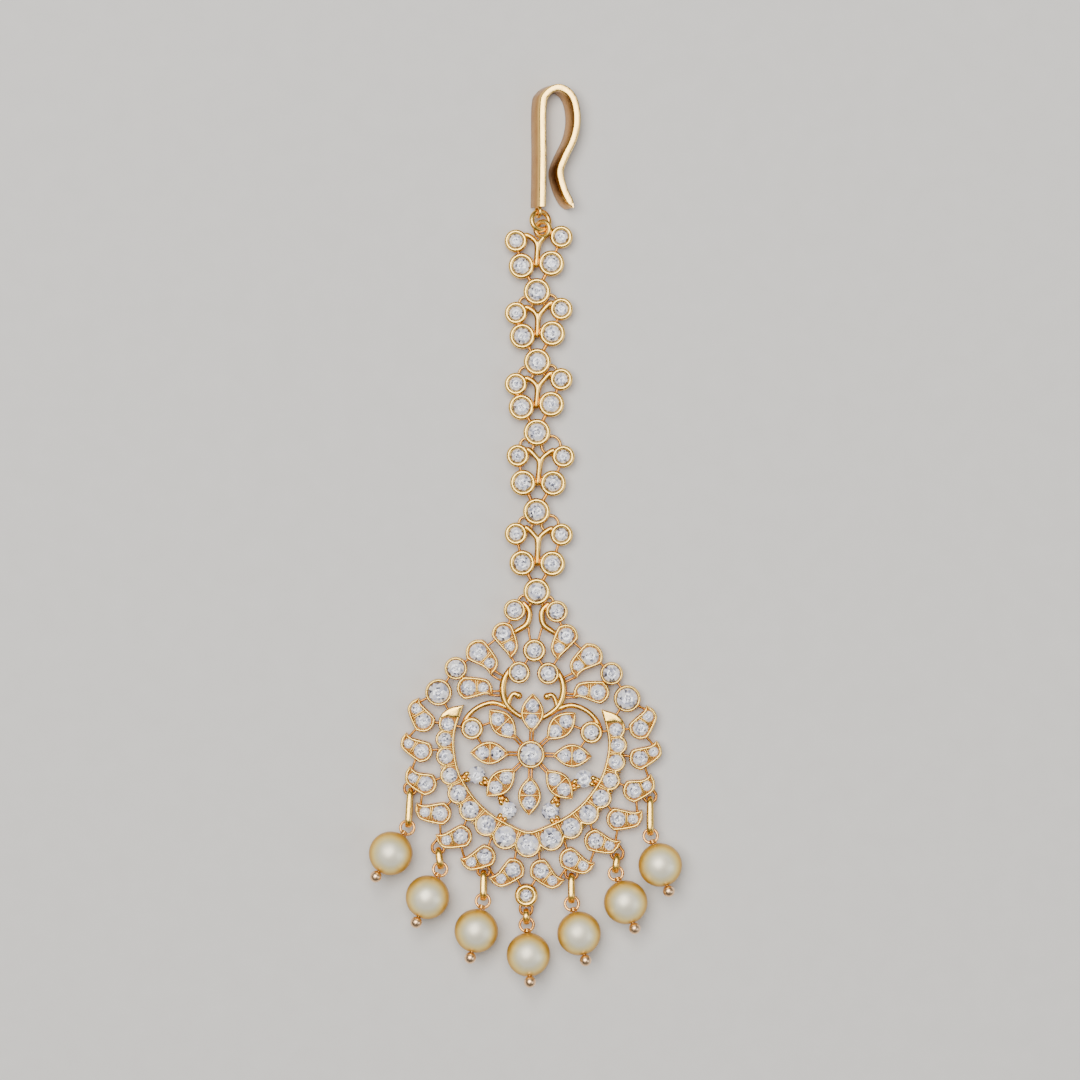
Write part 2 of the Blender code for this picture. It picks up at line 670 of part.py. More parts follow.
def build_pendant(staples):
    shapes = crescent()
    for name, x, y, outer, stone in ROUND_PAIRS:
        low = HINGE_SPACE if name == "top" else 0.0
        for side in (-1, 1):
            shapes.append(bezel(side * x * GRID, y * GRID, outer * GRID, stone * GRID, low))
    for _, y, outer, stone in ROUND_MIDDLE:
        shapes.append(bezel(0.0, y * GRID, outer * GRID, stone * GRID))
    for index in range(PETAL_COUNT):
        shapes.extend(petal(index))
    for side in (-1, 1):
        for row in MANGOES:
            shapes.extend(mango(row, side))
        for row in PRONG_STONES:
            shapes.extend(prong_stone(row, side))
        for start, end in STRUTS:
            ends = [(side * x * GRID, y * GRID, STRUT_LEVEL) for x, y in (start, end)]
            shapes.append(put(strut(*ends, STRUT_RADIUS)))
        shapes.extend(scrolls(side))
    for row in DROPS:
        shapes.append(drop_eye(row))
    pendant = node("pendant", fused(shapes + staples))
    pendant.rotation_euler.z = PENDANT_TURN


def build_hook(top):
    """The hook, a flat strip on its edge with an eye at its foot, and the ring that joins it to the chain."""
    loop = top_loop_place(top).translation.xy
    held = loop - Vector((0.0, 0.08 * TOP_LOOP_RADIUS))
    apart = TOP_LOOP_RADIUS + TOP_LOOP_WIRE + CLEAR + HOOK_EYE_RADIUS + HOOK_EYE_WIRE
    eye_centre = loop + Vector((-HOOK_EYE_LEFT, apart))
    foot = eye_centre + Vector((0.0, 0.85 * HOOK_EYE_RADIUS))
    line = smooth([(x * HOOK_SPAN, y * HOOK_LENGTH) for x, y in HOOK_LINE], 2)
    left, right = [], []
    for i, point in enumerate(line):
        along = (line[min(i + 1, len(line) - 1)] - line[max(i - 1, 0)]).normalized()
        half = Vector((-along.y, along.x)) * HOOK_THICKNESS / 2.0
        left.append(point + half)
        right.append(point - half)
    tip = line[-1] + (line[-1] - line[-2]).normalized() * 1.2 * HOOK_THICKNESS
    strip = plate([*left, tip, *reversed(right)], -HOOK_DEPTH / 2.0, HOOK_DEPTH / 2.0)
    lean = Matrix.Identity(4)
    lean[0][2] = math.tan(HOOK_LEAN)
    strip.transform(lean)
    on_edge = Matrix.Rotation(math.pi / 2.0 + HOOK_LEAN, 4, "Y")
    eye = ring(HOOK_EYE_RADIUS, HOOK_EYE_WIRE,
               Matrix.Translation((0.0, eye_centre.y - foot.y, 0.0)) @ on_edge)
    hook = node("hook", fused([put(strip, ("gold",)), put(eye, ("gold",))]), ("gold",))
    hook.location = (*foot, HOOK_DEPTH / 2.0)
    high = Vector((*eye_centre, HOOK_DEPTH / 2.0))
    low = Vector((*held, TOP_LOOP_LEVEL))
    tilted = Matrix.Rotation(HOOK_RING_TILT, 3, "Y") @ Vector((1.0, 0.0, 0.0))
    along = (high - low).normalized()
    level = (tilted - along * tilted.dot(along)).normalized()
    place = Matrix((level, along, level.cross(along))).transposed().to_4x4()
    place = Matrix.Translation((high + low) / 2.0) @ place
    node("hook_ring", ring((high - low).length / 2.0, HOOK_RING_WIRE, place, RING_SEGMENTS + 2), ("gold",))


# Drops

def pin_mesh():
    """A head pin along +Y through a pearl at the origin: ball end, shaft, wound neck and loop."""
    loop_at = PEARL_DIAMETER / 2.0 + PIN_NECK + PIN_LOOP_RADIUS
    ball_at = -PEARL_DIAMETER / 2.0 - BALL_RADIUS - 0.7 * CLEAR
    neck_low, neck_high = PEARL_DIAMETER / 2.0 + CLEAR, PEARL_DIAMETER / 2.0 + PIN_NECK + PIN_WIRE
    slots = ("rose_gold",)
    shapes = [
        put(ring(PIN_LOOP_RADIUS, PIN_WIRE, Matrix.Translation((0.0, loop_at, 0.0))), slots),
        put(ball(BALL_RADIUS, (0.0, ball_at, 0.0), 8, 4), slots),
        put(strut((0.0, ball_at, 0.0), (0.0, neck_high, 0.0), PIN_WIRE), slots),
        put(strut((0.0, neck_low, 0.0), (0.0, neck_high, 0.0), 2.6 * PIN_WIRE, 6), slots),
    ]
    return fused(shapes)


def pearl_mesh():
    """A round pearl at the origin, drilled along Y."""
    radius, hole = PEARL_DIAMETER / 2.0, PIN_WIRE + CLEAR
    mouth = math.asin(hole / radius)
    steps = 5
    profile = []
    for step in range(steps + 1):
        angle = mouth + (math.pi - 2.0 * mouth) * step / steps
        profile.append((radius * math.sin(angle), radius * math.cos(angle)))
    profile.append(profile[0])
    mesh = turned(profile, 12, 0.0, 0.0)
    mesh.transform(Matrix.Rotation(math.pi / 2.0, 4, "X"))
    mesh.materials.clear()
    return mesh


def long_ring_mesh(length):
    """An oval ring on its edge along +Y; the origin is the middle of its wire at the near end."""
    radius = min(DROP_RING_HEIGHT, length) / 2.0
    half = RING_SEGMENTS // 2
    points = []
    for centre, first in ((radius, math.pi / 2.0), (length - radius, -math.pi / 2.0)):
        for step in range(half):
            angle = first + math.pi * step / (half - 1)
            points.append((0.0, centre + radius * math.cos(angle), radius * math.sin(angle)))
    mesh = rod(points, DROP_RING_WIRE, closed=True)
    mesh.transform(Matrix.Diagonal((DROP_RING_BREADTH / DROP_RING_WIRE, 1.0, 1.0, 1.0)))
    return mesh


def along_y(origin, direction):
    """A frame whose +Y runs along the direction and whose +X is level."""
    y = direction.normalized()
    x = y.cross(Vector((0.0, 0.0, 1.0))).normalized()
    place = Matrix((x, y, x.cross(y))).transposed().to_4x4()
    return Matrix.Translation(origin) @ place


def build_drops(parent):
    """Seven drops: a long ring through the pendant's eye and the pin's loop, the pin, and the pearl on it."""
    pin, pearl = pin_mesh(), pearl_mesh()
    inside = PIN_LOOP_RADIUS - PIN_WIRE
    bulge = PIN_LOOP_RADIUS - math.sqrt(inside ** 2 - DROP_RING_BREADTH ** 2)
    for number, (eye_x, eye_y, _, off_x, off_y, *angles) in enumerate(DROPS, start=1):
        lean, dip = (math.radians(angle) for angle in angles)
        eye = Vector((eye_x * GRID, eye_y * GRID, EYE_LEVEL))
        centre = Vector((eye.x + off_x * MM, eye.y + off_y * MM, PEARL_DIAMETER / 2.0))
        level = math.cos(dip)
        axis = Vector((math.sin(lean) * level, math.cos(lean) * level, -math.sin(dip)))
        held = PEARL_DIAMETER / 2.0 + PIN_NECK + 2.0 * PIN_LOOP_RADIUS - bulge - CLEAR - DROP_RING_WIRE
        reach = centre + axis * held - eye
        frame = along_y(centre, axis)
        long_ring = node(f"drop_ring_{number}", long_ring_mesh(reach.length), ("gold",), parent)
        long_ring.matrix_local = along_y(eye, reach)
        node(f"drop_pin_{number}", pin, ("rose_gold",), parent).matrix_local = frame
        node(f"drop_pearl_{number}", pearl, ("pearl",), parent).matrix_local = frame


def build():
    turn = bpy.data.objects.new("pendant_turn", None)
    JEWEL.objects.link(turn)
    turn.rotation_euler.z = PENDANT_TURN
    staples = []
    top_unit = build_chain(staples)
    build_hook(top_unit)
    build_pendant(staples)
    build_drops(turn)
    bpy.data.collections.remove(SHAPES)
    bpy.context.view_layer.update()


build()
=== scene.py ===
import math
import random

import bpy
from mathutils import Matrix, Vector
from mathutils.geometry import tessellate_polygon


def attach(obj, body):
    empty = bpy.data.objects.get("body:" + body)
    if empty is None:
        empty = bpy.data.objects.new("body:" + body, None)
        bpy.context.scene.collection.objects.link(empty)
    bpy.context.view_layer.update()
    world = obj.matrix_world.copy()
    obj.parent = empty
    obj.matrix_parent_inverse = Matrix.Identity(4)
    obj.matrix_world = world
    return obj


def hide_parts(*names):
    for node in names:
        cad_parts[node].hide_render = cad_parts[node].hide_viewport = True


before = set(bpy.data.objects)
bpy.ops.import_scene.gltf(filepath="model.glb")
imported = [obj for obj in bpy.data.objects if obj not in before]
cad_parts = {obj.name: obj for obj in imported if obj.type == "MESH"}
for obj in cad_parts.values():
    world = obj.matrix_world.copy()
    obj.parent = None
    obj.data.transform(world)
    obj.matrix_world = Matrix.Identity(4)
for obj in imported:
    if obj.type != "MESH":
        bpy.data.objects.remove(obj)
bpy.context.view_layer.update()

# The maang tikka's looks. All lengths here are in millimetres until piece() makes the mesh in metres.
MM = 0.001
UP = Vector((0.0, 0.0, 1.0))

# The slots of the metals that the pieces share. The recess gold is a darker gold, painted shade on the low
# wires, struts and staples; the darkest gold is painted shade in the sunken floors and round the stones'
# girdles
SATIN, STONE, RECESS_SHADE, POLISHED, BRUSHED, PIT_SHADE = range(6)

# As in the solids
TURN = Matrix.Rotation(math.radians(-1.9), 4, "Z")
SETTING_TOP = 2.30
RELIEF = 0.30
FLOOR = SETTING_TOP - RELIEF
HINGE_SPACE = 1.00
STRUT_LEVEL = 1.30
STRUT_RADIUS = 0.17
MANGO_RIM = 0.52
CRESCENT_RIM = 0.36
PETAL_WIDTH = 3.2
UNIT_LENGTH = 10.0
HINGE_RISE = 3.0
SINGLE_BEZEL = 1.88
LARGE_BEZEL = 1.79
SMALL_BEZEL = 1.58
LARGE_SPACING = 4.12
SMALL_SPACING = 6.24
STEM_RADIUS = 0.38
STEM_LEVEL = FLOOR - STEM_RADIUS
CHAIN_WIRE = 0.20
HINGE_RING_WIRE = 0.20
HINGE_SINK = 0.10
STAPLE_WIRE = 0.15
STAPLE_ROOT = 0.30
TOP_LOOP_RADIUS = 1.02
SOLID_TOP_LOOP_WIRE = 0.33  # the hook keeps its distance from this one
TOP_LOOP_TILT = math.radians(-24.0)
TOP_LOOP_LEVEL = 1.60
HOOK_LENGTH = 16.30
HOOK_SPAN = 4.77
HOOK_THICKNESS = 0.96
HOOK_DEPTH = 2.80
HOOK_LEAN = math.radians(24.0)
HOOK_EYE_RADIUS = 0.72
HOOK_EYE_WIRE = 0.22
HOOK_EYE_LEFT = 0.62
HOOK_RING_TILT = math.radians(26.0)
PEARL_DIAMETER = 6.0
PIN_WIRE = 0.16
PIN_LOOP_RADIUS = 0.95
PIN_NECK = 0.30
DROP_RING_HEIGHT = 1.86
DROP_RING_WIRE = 0.25
DROP_RING_BREADTH = 0.47
DROP_RING_LIFT = 0.07
EYE_WIRE = 0.20
EYE_LEVEL = DROP_RING_HEIGHT / 2.0 + DROP_RING_WIRE + DROP_RING_LIFT
CLEAR = 0.14

# Thicker than in the solids, nearer to the real wires, walls and balls
SCROLL_WIRE = 0.48
CHAIN_BEZEL_WALL = 0.68
TOP_LOOP_WIRE = 0.36
HOOK_RING_WIRE = 0.36
PIN_LOOP_WIRE = 1.2 * PIN_WIRE
BALL_RADIUS = 0.80
BALL_CLEAR = 0.02  # between ball and pearl

# Only in the looks
NECK_TURNS = 2.4
NECK_WIRE = 0.78 * PIN_WIRE
HOOK_BEVEL = 0.14
STONE_LEVEL = FLOOR - 0.02  # of the girdles in the flat settings
PIT_FLOOR = 1.88  # the recessed floor round the stones
SETTING_BACK = 0.03

# name, x, y, radius of the bezel, radius of its stone, on both sides of the middle
ROUND_PAIRS = (
    ("top", 2.89, 19.70, 1.54, 1.04),
    ("inner", 2.01, 11.17, 1.55, 1.04),
    ("outer", 10.68, 11.45, 1.58, 1.17),
    ("shoulder", 12.94, 8.07, 1.86, 1.43),
    ("arc", 8.19, 3.28, 1.57, 1.00),
)

# name, y, radius of the bezel, radius of its stone, on the middle
ROUND_MIDDLE = (
    ("crown", 14.27, 1.59, 1.00),
    ("flower", 0.00, 1.95, 1.49),
    ("foot", -19.36, 1.60, 0.80),
)

# large stone x, y, radius, small stone x, y, radius, tip x, y
MANGOES = (
    (4.31, 16.42, 1.08, 3.41, 14.74, 0.73, 3.30, 13.00),
    (7.68, 13.75, 1.22, 6.10, 12.36, 0.74, 5.88, 10.63),
    (8.90, 8.82, 1.07, 6.83, 8.93, 0.74, 5.57, 7.98),
    (14.90, 4.13, 1.07, 15.87, 5.73, 0.77, 15.63, 7.23),
    (15.01, -0.04, 1.02, 16.79, 0.95, 0.69, 17.22, 2.45),
    (14.32, -4.49, 1.06, 16.00, -3.75, 0.71, 16.54, -2.13),
    (12.20, -8.50, 1.06, 14.28, -8.37, 0.72, 15.51, -7.15),
    (9.25, -11.56, 1.06, 11.19, -12.11, 0.70, 12.72, -11.44),
    (5.90, -14.19, 1.06, 7.67, -15.00, 0.72, 9.26, -14.62),
    (1.92, -15.91, 1.06, 3.51, -17.17, 0.70, 5.23, -17.02),
)

# x, y, radius of the crescent's stones, from the horn to the middle
CRESCENT = (
    (11.56, 3.77, 0.92),
    (11.86, 1.67, 0.96),
    (11.67, -0.67, 1.00),
    (11.01, -3.22, 1.03),
    (9.78, -5.66, 1.16),
    (8.08, -7.87, 1.22),
    (5.81, -9.82, 1.30),
    (3.13, -11.38, 1.45),
    (0.00, -12.36, 1.47),
)
CRESCENT_HORN = (9.44, 6.46)

# The crescent's plain horn on the right, from the centre of the first stone: its full outer side from the tip
# down, its edge above the stone, its hollow inner side up to the tip, and a point in its middle
HORN_BELLY = ((-0.38, 2.28), (0.66, 1.58), (1.17, 0.80))
HORN_BASE = ((0.84, 0.86), (0.00, 1.06), (-0.72, 0.92))
HORN_INSIDE = ((-1.60, 0.98), (-1.86, 1.84))
HORN_MIDDLE = (-0.45, 1.66)
HORN_FOOT = 0.25  # the first lobe's rim starts this far above its stone's centre

# Rings of the horn's dome: share of its size, and height
HORN_RINGS = ((1.005, 1.80), (1.005, 2.20), (0.95, 2.30), (0.84, 2.35), (0.55, 2.38))

PETAL_COUNT = 8
PETAL_INNER_TIP = 3.05
PETAL_OUTER_TIP = 8.35
PETAL_STONES = (4.60, 6.65)
PETAL_STONE_RADIUS = 0.95
PETAL_WIRE = 0.15
PETAL_WIRE_SHIFT = 0.20
PETAL_WIRE_ENDS = (1.6, PETAL_INNER_TIP + 0.9)

# x, y, radius of the stones that only prongs hold, and the settings that their prongs reach
PRONG_STONES = (
    (7.39, -3.10, 1.22, (11.01, -3.90), (5.00, -5.00)),
    (2.93, -7.70, 1.23, (4.60, -10.40), (4.20, -5.20)),
)
PRONG_ARM = 0.36  # radius of the wire under the stone
PRONG_WIRE = 0.26
PRONG_SHIFTS = (-0.42, 0.38)  # the two prongs at either end, across the arm

# Scrolls on the right: x, y, and the share of the scroll wire's radius at each point
LYRE = (
    (3.30, 11.60, 0.70), (3.98, 10.20, 0.95), (4.17, 8.90, 1.0), (3.95, 7.60, 1.0),
    (3.40, 6.55, 0.95), (2.60, 5.80, 0.85), (1.55, 5.10, 0.75),
)
LYRE_CURL = (
    (3.40, 6.45, 0.75), (3.22, 7.30, 0.75), (2.85, 8.05, 0.75), (2.45, 8.22, 0.78), (1.95, 8.00, 0.85),
)
SIDE_ARC = (
    (3.50, 6.35, 0.75), (5.00, 6.86, 0.78), (6.25, 6.75, 0.78), (7.70, 6.05, 0.78),
    (8.85, 4.90, 0.78), (9.45, 3.60, 0.75),
)
COMMA = (
    (1.70, 20.70, 0.65), (0.98, 19.90, 0.85), (0.84, 18.90, 0.90), (1.23, 17.75, 0.90),
    (2.60, 16.80, 0.80),
)

# Straight wires on the right: from x, y to x, y
STRUTS = (
    ((2.89, 19.70), (4.31, 16.42)), ((4.31, 16.42), (7.68, 13.75)), ((0.90, 17.30), (0.30, 14.60)),
    ((3.41, 13.60), (2.01, 11.17)), ((0.00, 14.27), (2.01, 11.17)), ((7.68, 13.75), (10.68, 11.45)),
    ((5.95, 11.60), (3.70, 10.40)), ((5.85, 10.80), (3.90, 9.80)), ((10.68, 11.45), (12.94, 8.07)),
    ((10.68, 11.45), (8.90, 8.82)), ((6.20, 8.40), (4.00, 8.60)), ((6.00, 8.00), (4.00, 7.90)),
    ((12.94, 8.07), (15.70, 6.60)), ((12.94, 8.07), (10.80, 4.60)), ((15.00, 4.00), (16.90, 1.70)),
    ((15.40, -0.20), (16.30, -2.80)), ((14.60, -4.80), (14.90, -7.60)), ((12.40, -8.70), (12.00, -11.60)),
    ((9.40, -11.80), (8.60, -14.60)), ((6.00, -14.40), (4.40, -17.00)), ((1.92, -15.91), (0.00, -19.36)),
    ((14.90, 4.13), (11.56, 3.77)), ((15.01, -0.04), (11.80, 0.30)), ((14.32, -4.49), (11.01, -3.22)),
    ((12.20, -8.50), (9.78, -5.66)), ((9.25, -11.56), (8.08, -7.87)), ((5.90, -14.19), (4.70, -10.60)),
    ((1.92, -15.91), (1.40, -12.00)), ((8.19, 3.28), (11.56, 3.77)), ((8.19, 3.28), (5.00, 4.40)),
    ((8.19, 3.28), (6.40, 0.60)),
)

# Drops, from the left: eye x, y and its heading in degrees; the pearl's centre from the eye; the pin's lean,
# and how far it dips towards its loop, in degrees
DROPS = (
    (-16.38, -5.40, 183.0, -2.34, -8.71, 31.0, 15.0),
    (-12.30, -13.40, 180.0, -1.19, -6.54, 22.6, 15.0),
    (-5.95, -16.30, 180.0, -0.72, -8.02, 10.7, 15.0),
    (0.05, -21.40, 180.0, 0.52, -5.95, -5.4, 20.0),
    (6.10, -16.30, 180.0, 1.30, -7.91, -15.7, 15.0),
    (12.30, -13.40, 180.0, 1.34, -6.34, -21.0, 15.0),
    (16.55, -5.40, 178.0, 1.64, -9.08, -20.0, 15.0),
)

# One side of a drop's eye, from the pendant outward, in shares of its reach and of half of its width
EYE_SIDE = ((-2.2, 0.25), (-1.5, 0.62), (-0.8, 1.0), (0.0, 1.0), (0.6, 0.86), (1.0, 0.42))

# Chain units from the bottom up: rise of the single bezel above the pair that it is hinged to, as a share of
# the hinge's rise; its x, the rise of the large pair and of the small pair above it, and the drift of each
# pair to the right, as shares of the unit's length; the slope of the pairs in degrees
CHAIN_UNITS = (
    (0.873, 0.081, 0.389, 0.788, 0.007, 0.027, -1.0),
    (1.030, 0.078, 0.393, 0.762, 0.020, 0.055, -1.1),
    (1.083, 0.084, 0.367, 0.696, -0.009, 0.022, 5.9),
    (0.907, 0.088, 0.370, 0.696, 0.000, 0.019, 5.2),
    (0.887, 0.084, 0.370, 0.723, -0.008, 0.022, 5.0),
)

# The fork and arms of a unit's stem, on the right, in shares of the small bezel's radius
FORK = (-0.063, -0.316)
ARM_FROM_BEZEL = ((-0.57, 0.443), (-0.95, 0.506))
ARM_FROM_FORK = (0.392, 0.316)
TOP_LOOP_FROM_FORK = (0.418, 1.171)

# The hook's line from the foot, as shares of its span and its length
HOOK_LINE = (
    (0.00, 0.00), (0.02, 0.40), (0.02, 0.84), (0.14, 0.95), (0.46, 1.00), (0.77, 0.96), (0.94, 0.87),
    (1.00, 0.72), (0.90, 0.57), (0.66, 0.42), (0.52, 0.31), (0.55, 0.22), (0.66, 0.12), (0.78, 0.05),
)

RANDOM = random.Random(6)


# Meshes

class Shape:
    """Points and faces of one piece, each face with a material, a tint and whether it is smooth."""

    def __init__(self):
        self.points, self.faces, self.slots, self.tints, self.rounded = [], [], [], [], []

    def add(self, points, faces, slot=0, smooth=True, tints=None, place=None):
        start = len(self.points)
        self.points += [place @ Vector(p) if place else Vector(p) for p in points]
        for i, face in enumerate(faces):
            self.faces.append([start + corner for corner in face])
            self.slots.append(slot)
            self.tints.append(tints[i] if tints else (1.0, 1.0, 1.0))
            self.rounded.append(smooth)


def piece(name, shape, materials, replaced=(), place=None):
    """One visible object, which rides on the root body."""
    mesh = bpy.data.meshes.new(name)
    points = [(place @ p if place else p) * MM for p in shape.points]
    mesh.from_pydata(points, [], shape.faces)
    for material in materials:
        mesh.materials.append(material)
    tint = mesh.color_attributes.new("tint", "FLOAT_COLOR", "CORNER")
    for i, face in enumerate(mesh.polygons):
        face.material_index = shape.slots[i]
        face.use_smooth = shape.rounded[i]
        for corner in face.loop_indices:
            tint.data[corner].color = (*shape.tints[i], 1.0)
    mesh.validate()
    obj = bpy.data.objects.new(name, mesh)
    bpy.context.scene.collection.objects.link(obj)
    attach(obj, "root")
    if replaced:
        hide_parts(*replaced)
    return obj


def circle(count):
    """The cosine and sine of evenly spaced angles."""
    angles = [2.0 * math.pi * i / count for i in range(count)]
    return [(math.cos(angle), math.sin(angle)) for angle in angles]


def skin(rows, wide, rows_close=False, wide_closes=True):
    """Faces between rows of points, each row with as many points as it is wide."""
    faces = []
    for i in range(rows if rows_close else rows - 1):
        one, two = i * wide, (i + 1) % rows * wide
        for k in range(wide if wide_closes else wide - 1):
            n = (k + 1) % wide
            faces.append([one + k, two + k, two + n, one + n])
    return faces


def ball_profile(rings, radius=1.0):
    """A half circle from the top down, for lathe()."""
    angles = [math.pi * k / rings for k in range(1, rings)]
    return [(0.0, radius), *((radius * math.sin(a), radius * math.cos(a)) for a in angles), (0.0, -radius)]


def lathe(shape, profile, sides, place, slot=SATIN):
    """A turned shape about the local Z; profile lists radius and height from the top down."""
    points, faces, rings = [], [], []
    for radius, height in profile:
        if radius < 1e-6:
            rings.append([len(points)])
            points.append((0.0, 0.0, height))
            continue
        rings.append(list(range(len(points), len(points) + sides)))
        points += [(radius * x, radius * y, height) for x, y in circle(sides)]
    for upper, lower in zip(rings, rings[1:]):
        for i in range(sides):
            j = (i + 1) % sides
            corners = [ring[k % len(ring)] for ring, k in ((upper, i), (lower, i), (lower, j), (upper, j))]
            face = [c for k, c in enumerate(corners) if c not in corners[:k]]
            if len(face) > 2:
                faces.append(face)
    shape.add(points, faces, slot, place=place)


def frames(points, closed):
    """Side and rise at each point, carried along the path without twist."""
    count = len(points)
    tangents = []
    for i in range(count):
        before = points[i - 1] if closed or i else points[0]
        after = points[(i + 1) % count] if closed or i < count - 1 else points[-1]
        tangents.append((after - before).normalized())
    first = UP if abs(tangents[0].dot(UP)) < 0.9 else Vector((1.0, 0.0, 0.0))
    side = tangents[0].cross(first).normalized()
    made = []
    for tangent in tangents:
        side = (side - tangent * side.dot(tangent)).normalized()
        made.append((side, tangent.cross(side)))
    return made


def tube(shape, path, radius, sides=12, closed=False, slot=SATIN, place=None):
    """A wire along a path, with rounded ends; radius is one number or one for each point."""
    points = [Vector(p) for p in path]
    radii = list(radius) if isinstance(radius, (list, tuple)) else [radius] * len(points)
    if not closed:
        head, tail = [], []
        start, end = (points[0] - points[1]).normalized(), (points[-1] - points[-2]).normalized()
        for angle in (80.0, 55.0, 30.0):
            far, near = math.sin(math.radians(angle)), math.cos(math.radians(angle))
            head.append((points[0] + start * radii[0] * far, radii[0] * near))
            tail.insert(0, (points[-1] + end * radii[-1] * far, radii[-1] * near))
        points = [p for p, _ in head] + points + [p for p, _ in tail]
        radii = [r for _, r in head] + radii + [r for _, r in tail]
    made = []
    for point, size, (side, rise) in zip(points, radii, frames(points, closed)):
        made += [point + side * (x * size) + rise * (y * size) for x, y in circle(sides)]
    faces = skin(len(points), sides, closed)
    if not closed:
        faces.append(list(range(sides)))
        faces.append(list(reversed(range(len(made) - sides, len(made)))))
    shape.add(made, faces, slot, place=place)


def torus(shape, radius, wire, place, segments=48, sides=14, slot=SATIN):
    tube(shape, [(radius * x, radius * y, 0.0) for x, y in circle(segments)], wire, sides, True, slot, place)


def lump(shape, centre, sizes, turn=0.0, slot=SATIN, sides=12, rings=8):
    """A rounded grain or ball; sizes are its half lengths."""
    place = Matrix.Translation(centre) @ Matrix.Rotation(turn, 4, "Z") @ Matrix.Diagonal((*sizes, 1.0))
    lathe(shape, ball_profile(rings), sides, place, slot)


def smooth_line(points, steps):
    """Points on a smooth curve through the given ones, with their other columns carried along."""
    rows = [Vector(p) for p in points]
    rows = [rows[0] * 2.0 - rows[1], *rows, rows[-1] * 2.0 - rows[-2]]
    made = []
    for i in range(1, len(rows) - 2):
        p0, p1, p2, p3 = rows[i - 1:i + 3]
        for step in range(steps):
            t = step / steps
            made.append(0.5 * (2.0 * p1 + (p2 - p0) * t + (2.0 * p0 - 5.0 * p1 + 4.0 * p2 - p3) * t * t
                               + (3.0 * p1 - p0 - 3.0 * p2 + p3) * t ** 3))
    return [*made, rows[-2]]


def anticlockwise(outline):
    area = sum(a.x * b.y - b.x * a.y for a, b in zip(outline, [*outline[1:], outline[0]]))
    return outline if area > 0.0 else list(reversed(outline))


def edge_sweep(shape, outline, section, tips, half_angle):
    """A section swept along a closed outline: section lists distance inward and height, and it narrows to
    nothing at the outline's sharp tips, where half_angle is half of the angle between the sides."""
    count = len(outline)
    reach = max(inward for inward, _ in section)
    points = []
    for i, point in enumerate(outline):
        before, after = outline[i - 1], outline[(i + 1) % count]
        one, two = (point - before).normalized(), (after - point).normalized()
        normal = Vector((-(one.y + two.y), one.x + two.x))
        normal = normal.normalized() if normal.length > 1e-6 else Vector((-one.y, one.x))
        widen = min(1.0 / max(normal.dot(Vector((-one.y, one.x))), 0.2), 1.5)
        share = 1.0
        for tip in tips:
            share = min(share, (point - tip).length * math.tan(math.radians(half_angle)) / reach)
        for inward, height in section:
            points.append((*(point + normal * inward * widen * share), height))
    shape.add(points, skin(count, len(section), rows_close=True, wide_closes=False))


def fill(shape, outline, height, slot=SATIN, facing_up=True):
    corners = [Vector((p.x, p.y, 0.0)) for p in outline]
    triangles = tessellate_polygon([corners])
    faces = []
    for a, b, c in triangles:
        up = (corners[b] - corners[a]).cross(corners[c] - corners[a]).z > 0.0
        faces.append([a, b, c] if up == facing_up else [a, c, b])
    shape.add([(p.x, p.y, height) for p in outline], faces, slot, smooth=False)


def cap(shape, outline, middle, rings):
    """A domed plate; rings list the share of the outline's size about its middle, and the height."""
    count = len(outline)
    points = [(*middle.lerp(point, share), height) for share, height in rings for point in outline]
    points.append((*middle, rings[-1][1]))
    faces = [[a, d, c, b] for a, b, c, d in skin(len(rings), count)]  # the rings rise, so the faces turn round
    last = (len(rings) - 1) * count
    faces += [[last + i, last + (i + 1) % count, len(points) - 1] for i in range(count)]
    shape.add(points, faces)


def polar(angle, radius=1.0, centre=(0.0, 0.0)):
    return Vector((centre[0] + radius * math.cos(angle), centre[1] + radius * math.sin(angle)))


# Stones

# The stones' facet colours, from white to dark: painted reflections and sparkle
WHITE, LILAC, GREY, DARK = (0.97, 0.98, 1.00), (0.74, 0.75, 0.90), (0.32, 0.34, 0.45), (0.05, 0.05, 0.08)
REFLECTION_SHADES = (WHITE, LILAC, GREY, DARK)
STONE_LEAN = 2.5  # degrees at most

# All in shares of the stone's radius, with heights from its girdle
TABLE_HEIGHT = 0.30
STONE_RINGS = (  # name, radius, height, turn in eighths, unevenness of the height
    ("core", 0.17, TABLE_HEIGHT, 0.5, 0.035),
    ("arrow", 0.36, TABLE_HEIGHT, 0.0, 0.035),
    ("table", 0.56, TABLE_HEIGHT, 0.0, 0.0),
    ("kite", 0.79, 0.17, 0.5, 0.0),
)
SHALLOW_FOOT, DEEP_FOOT = (0.99, -0.05), (0.45, -0.55)  # radius and height of the lowest ring


def reflection_shade(weights):
    """One facet's painted reflection, a little off its neighbours'."""
    base = RANDOM.choices(REFLECTION_SHADES, weights)[0]
    change = RANDOM.uniform(0.86, 1.10)
    return tuple(min(c * change, 1.0) for c in base)


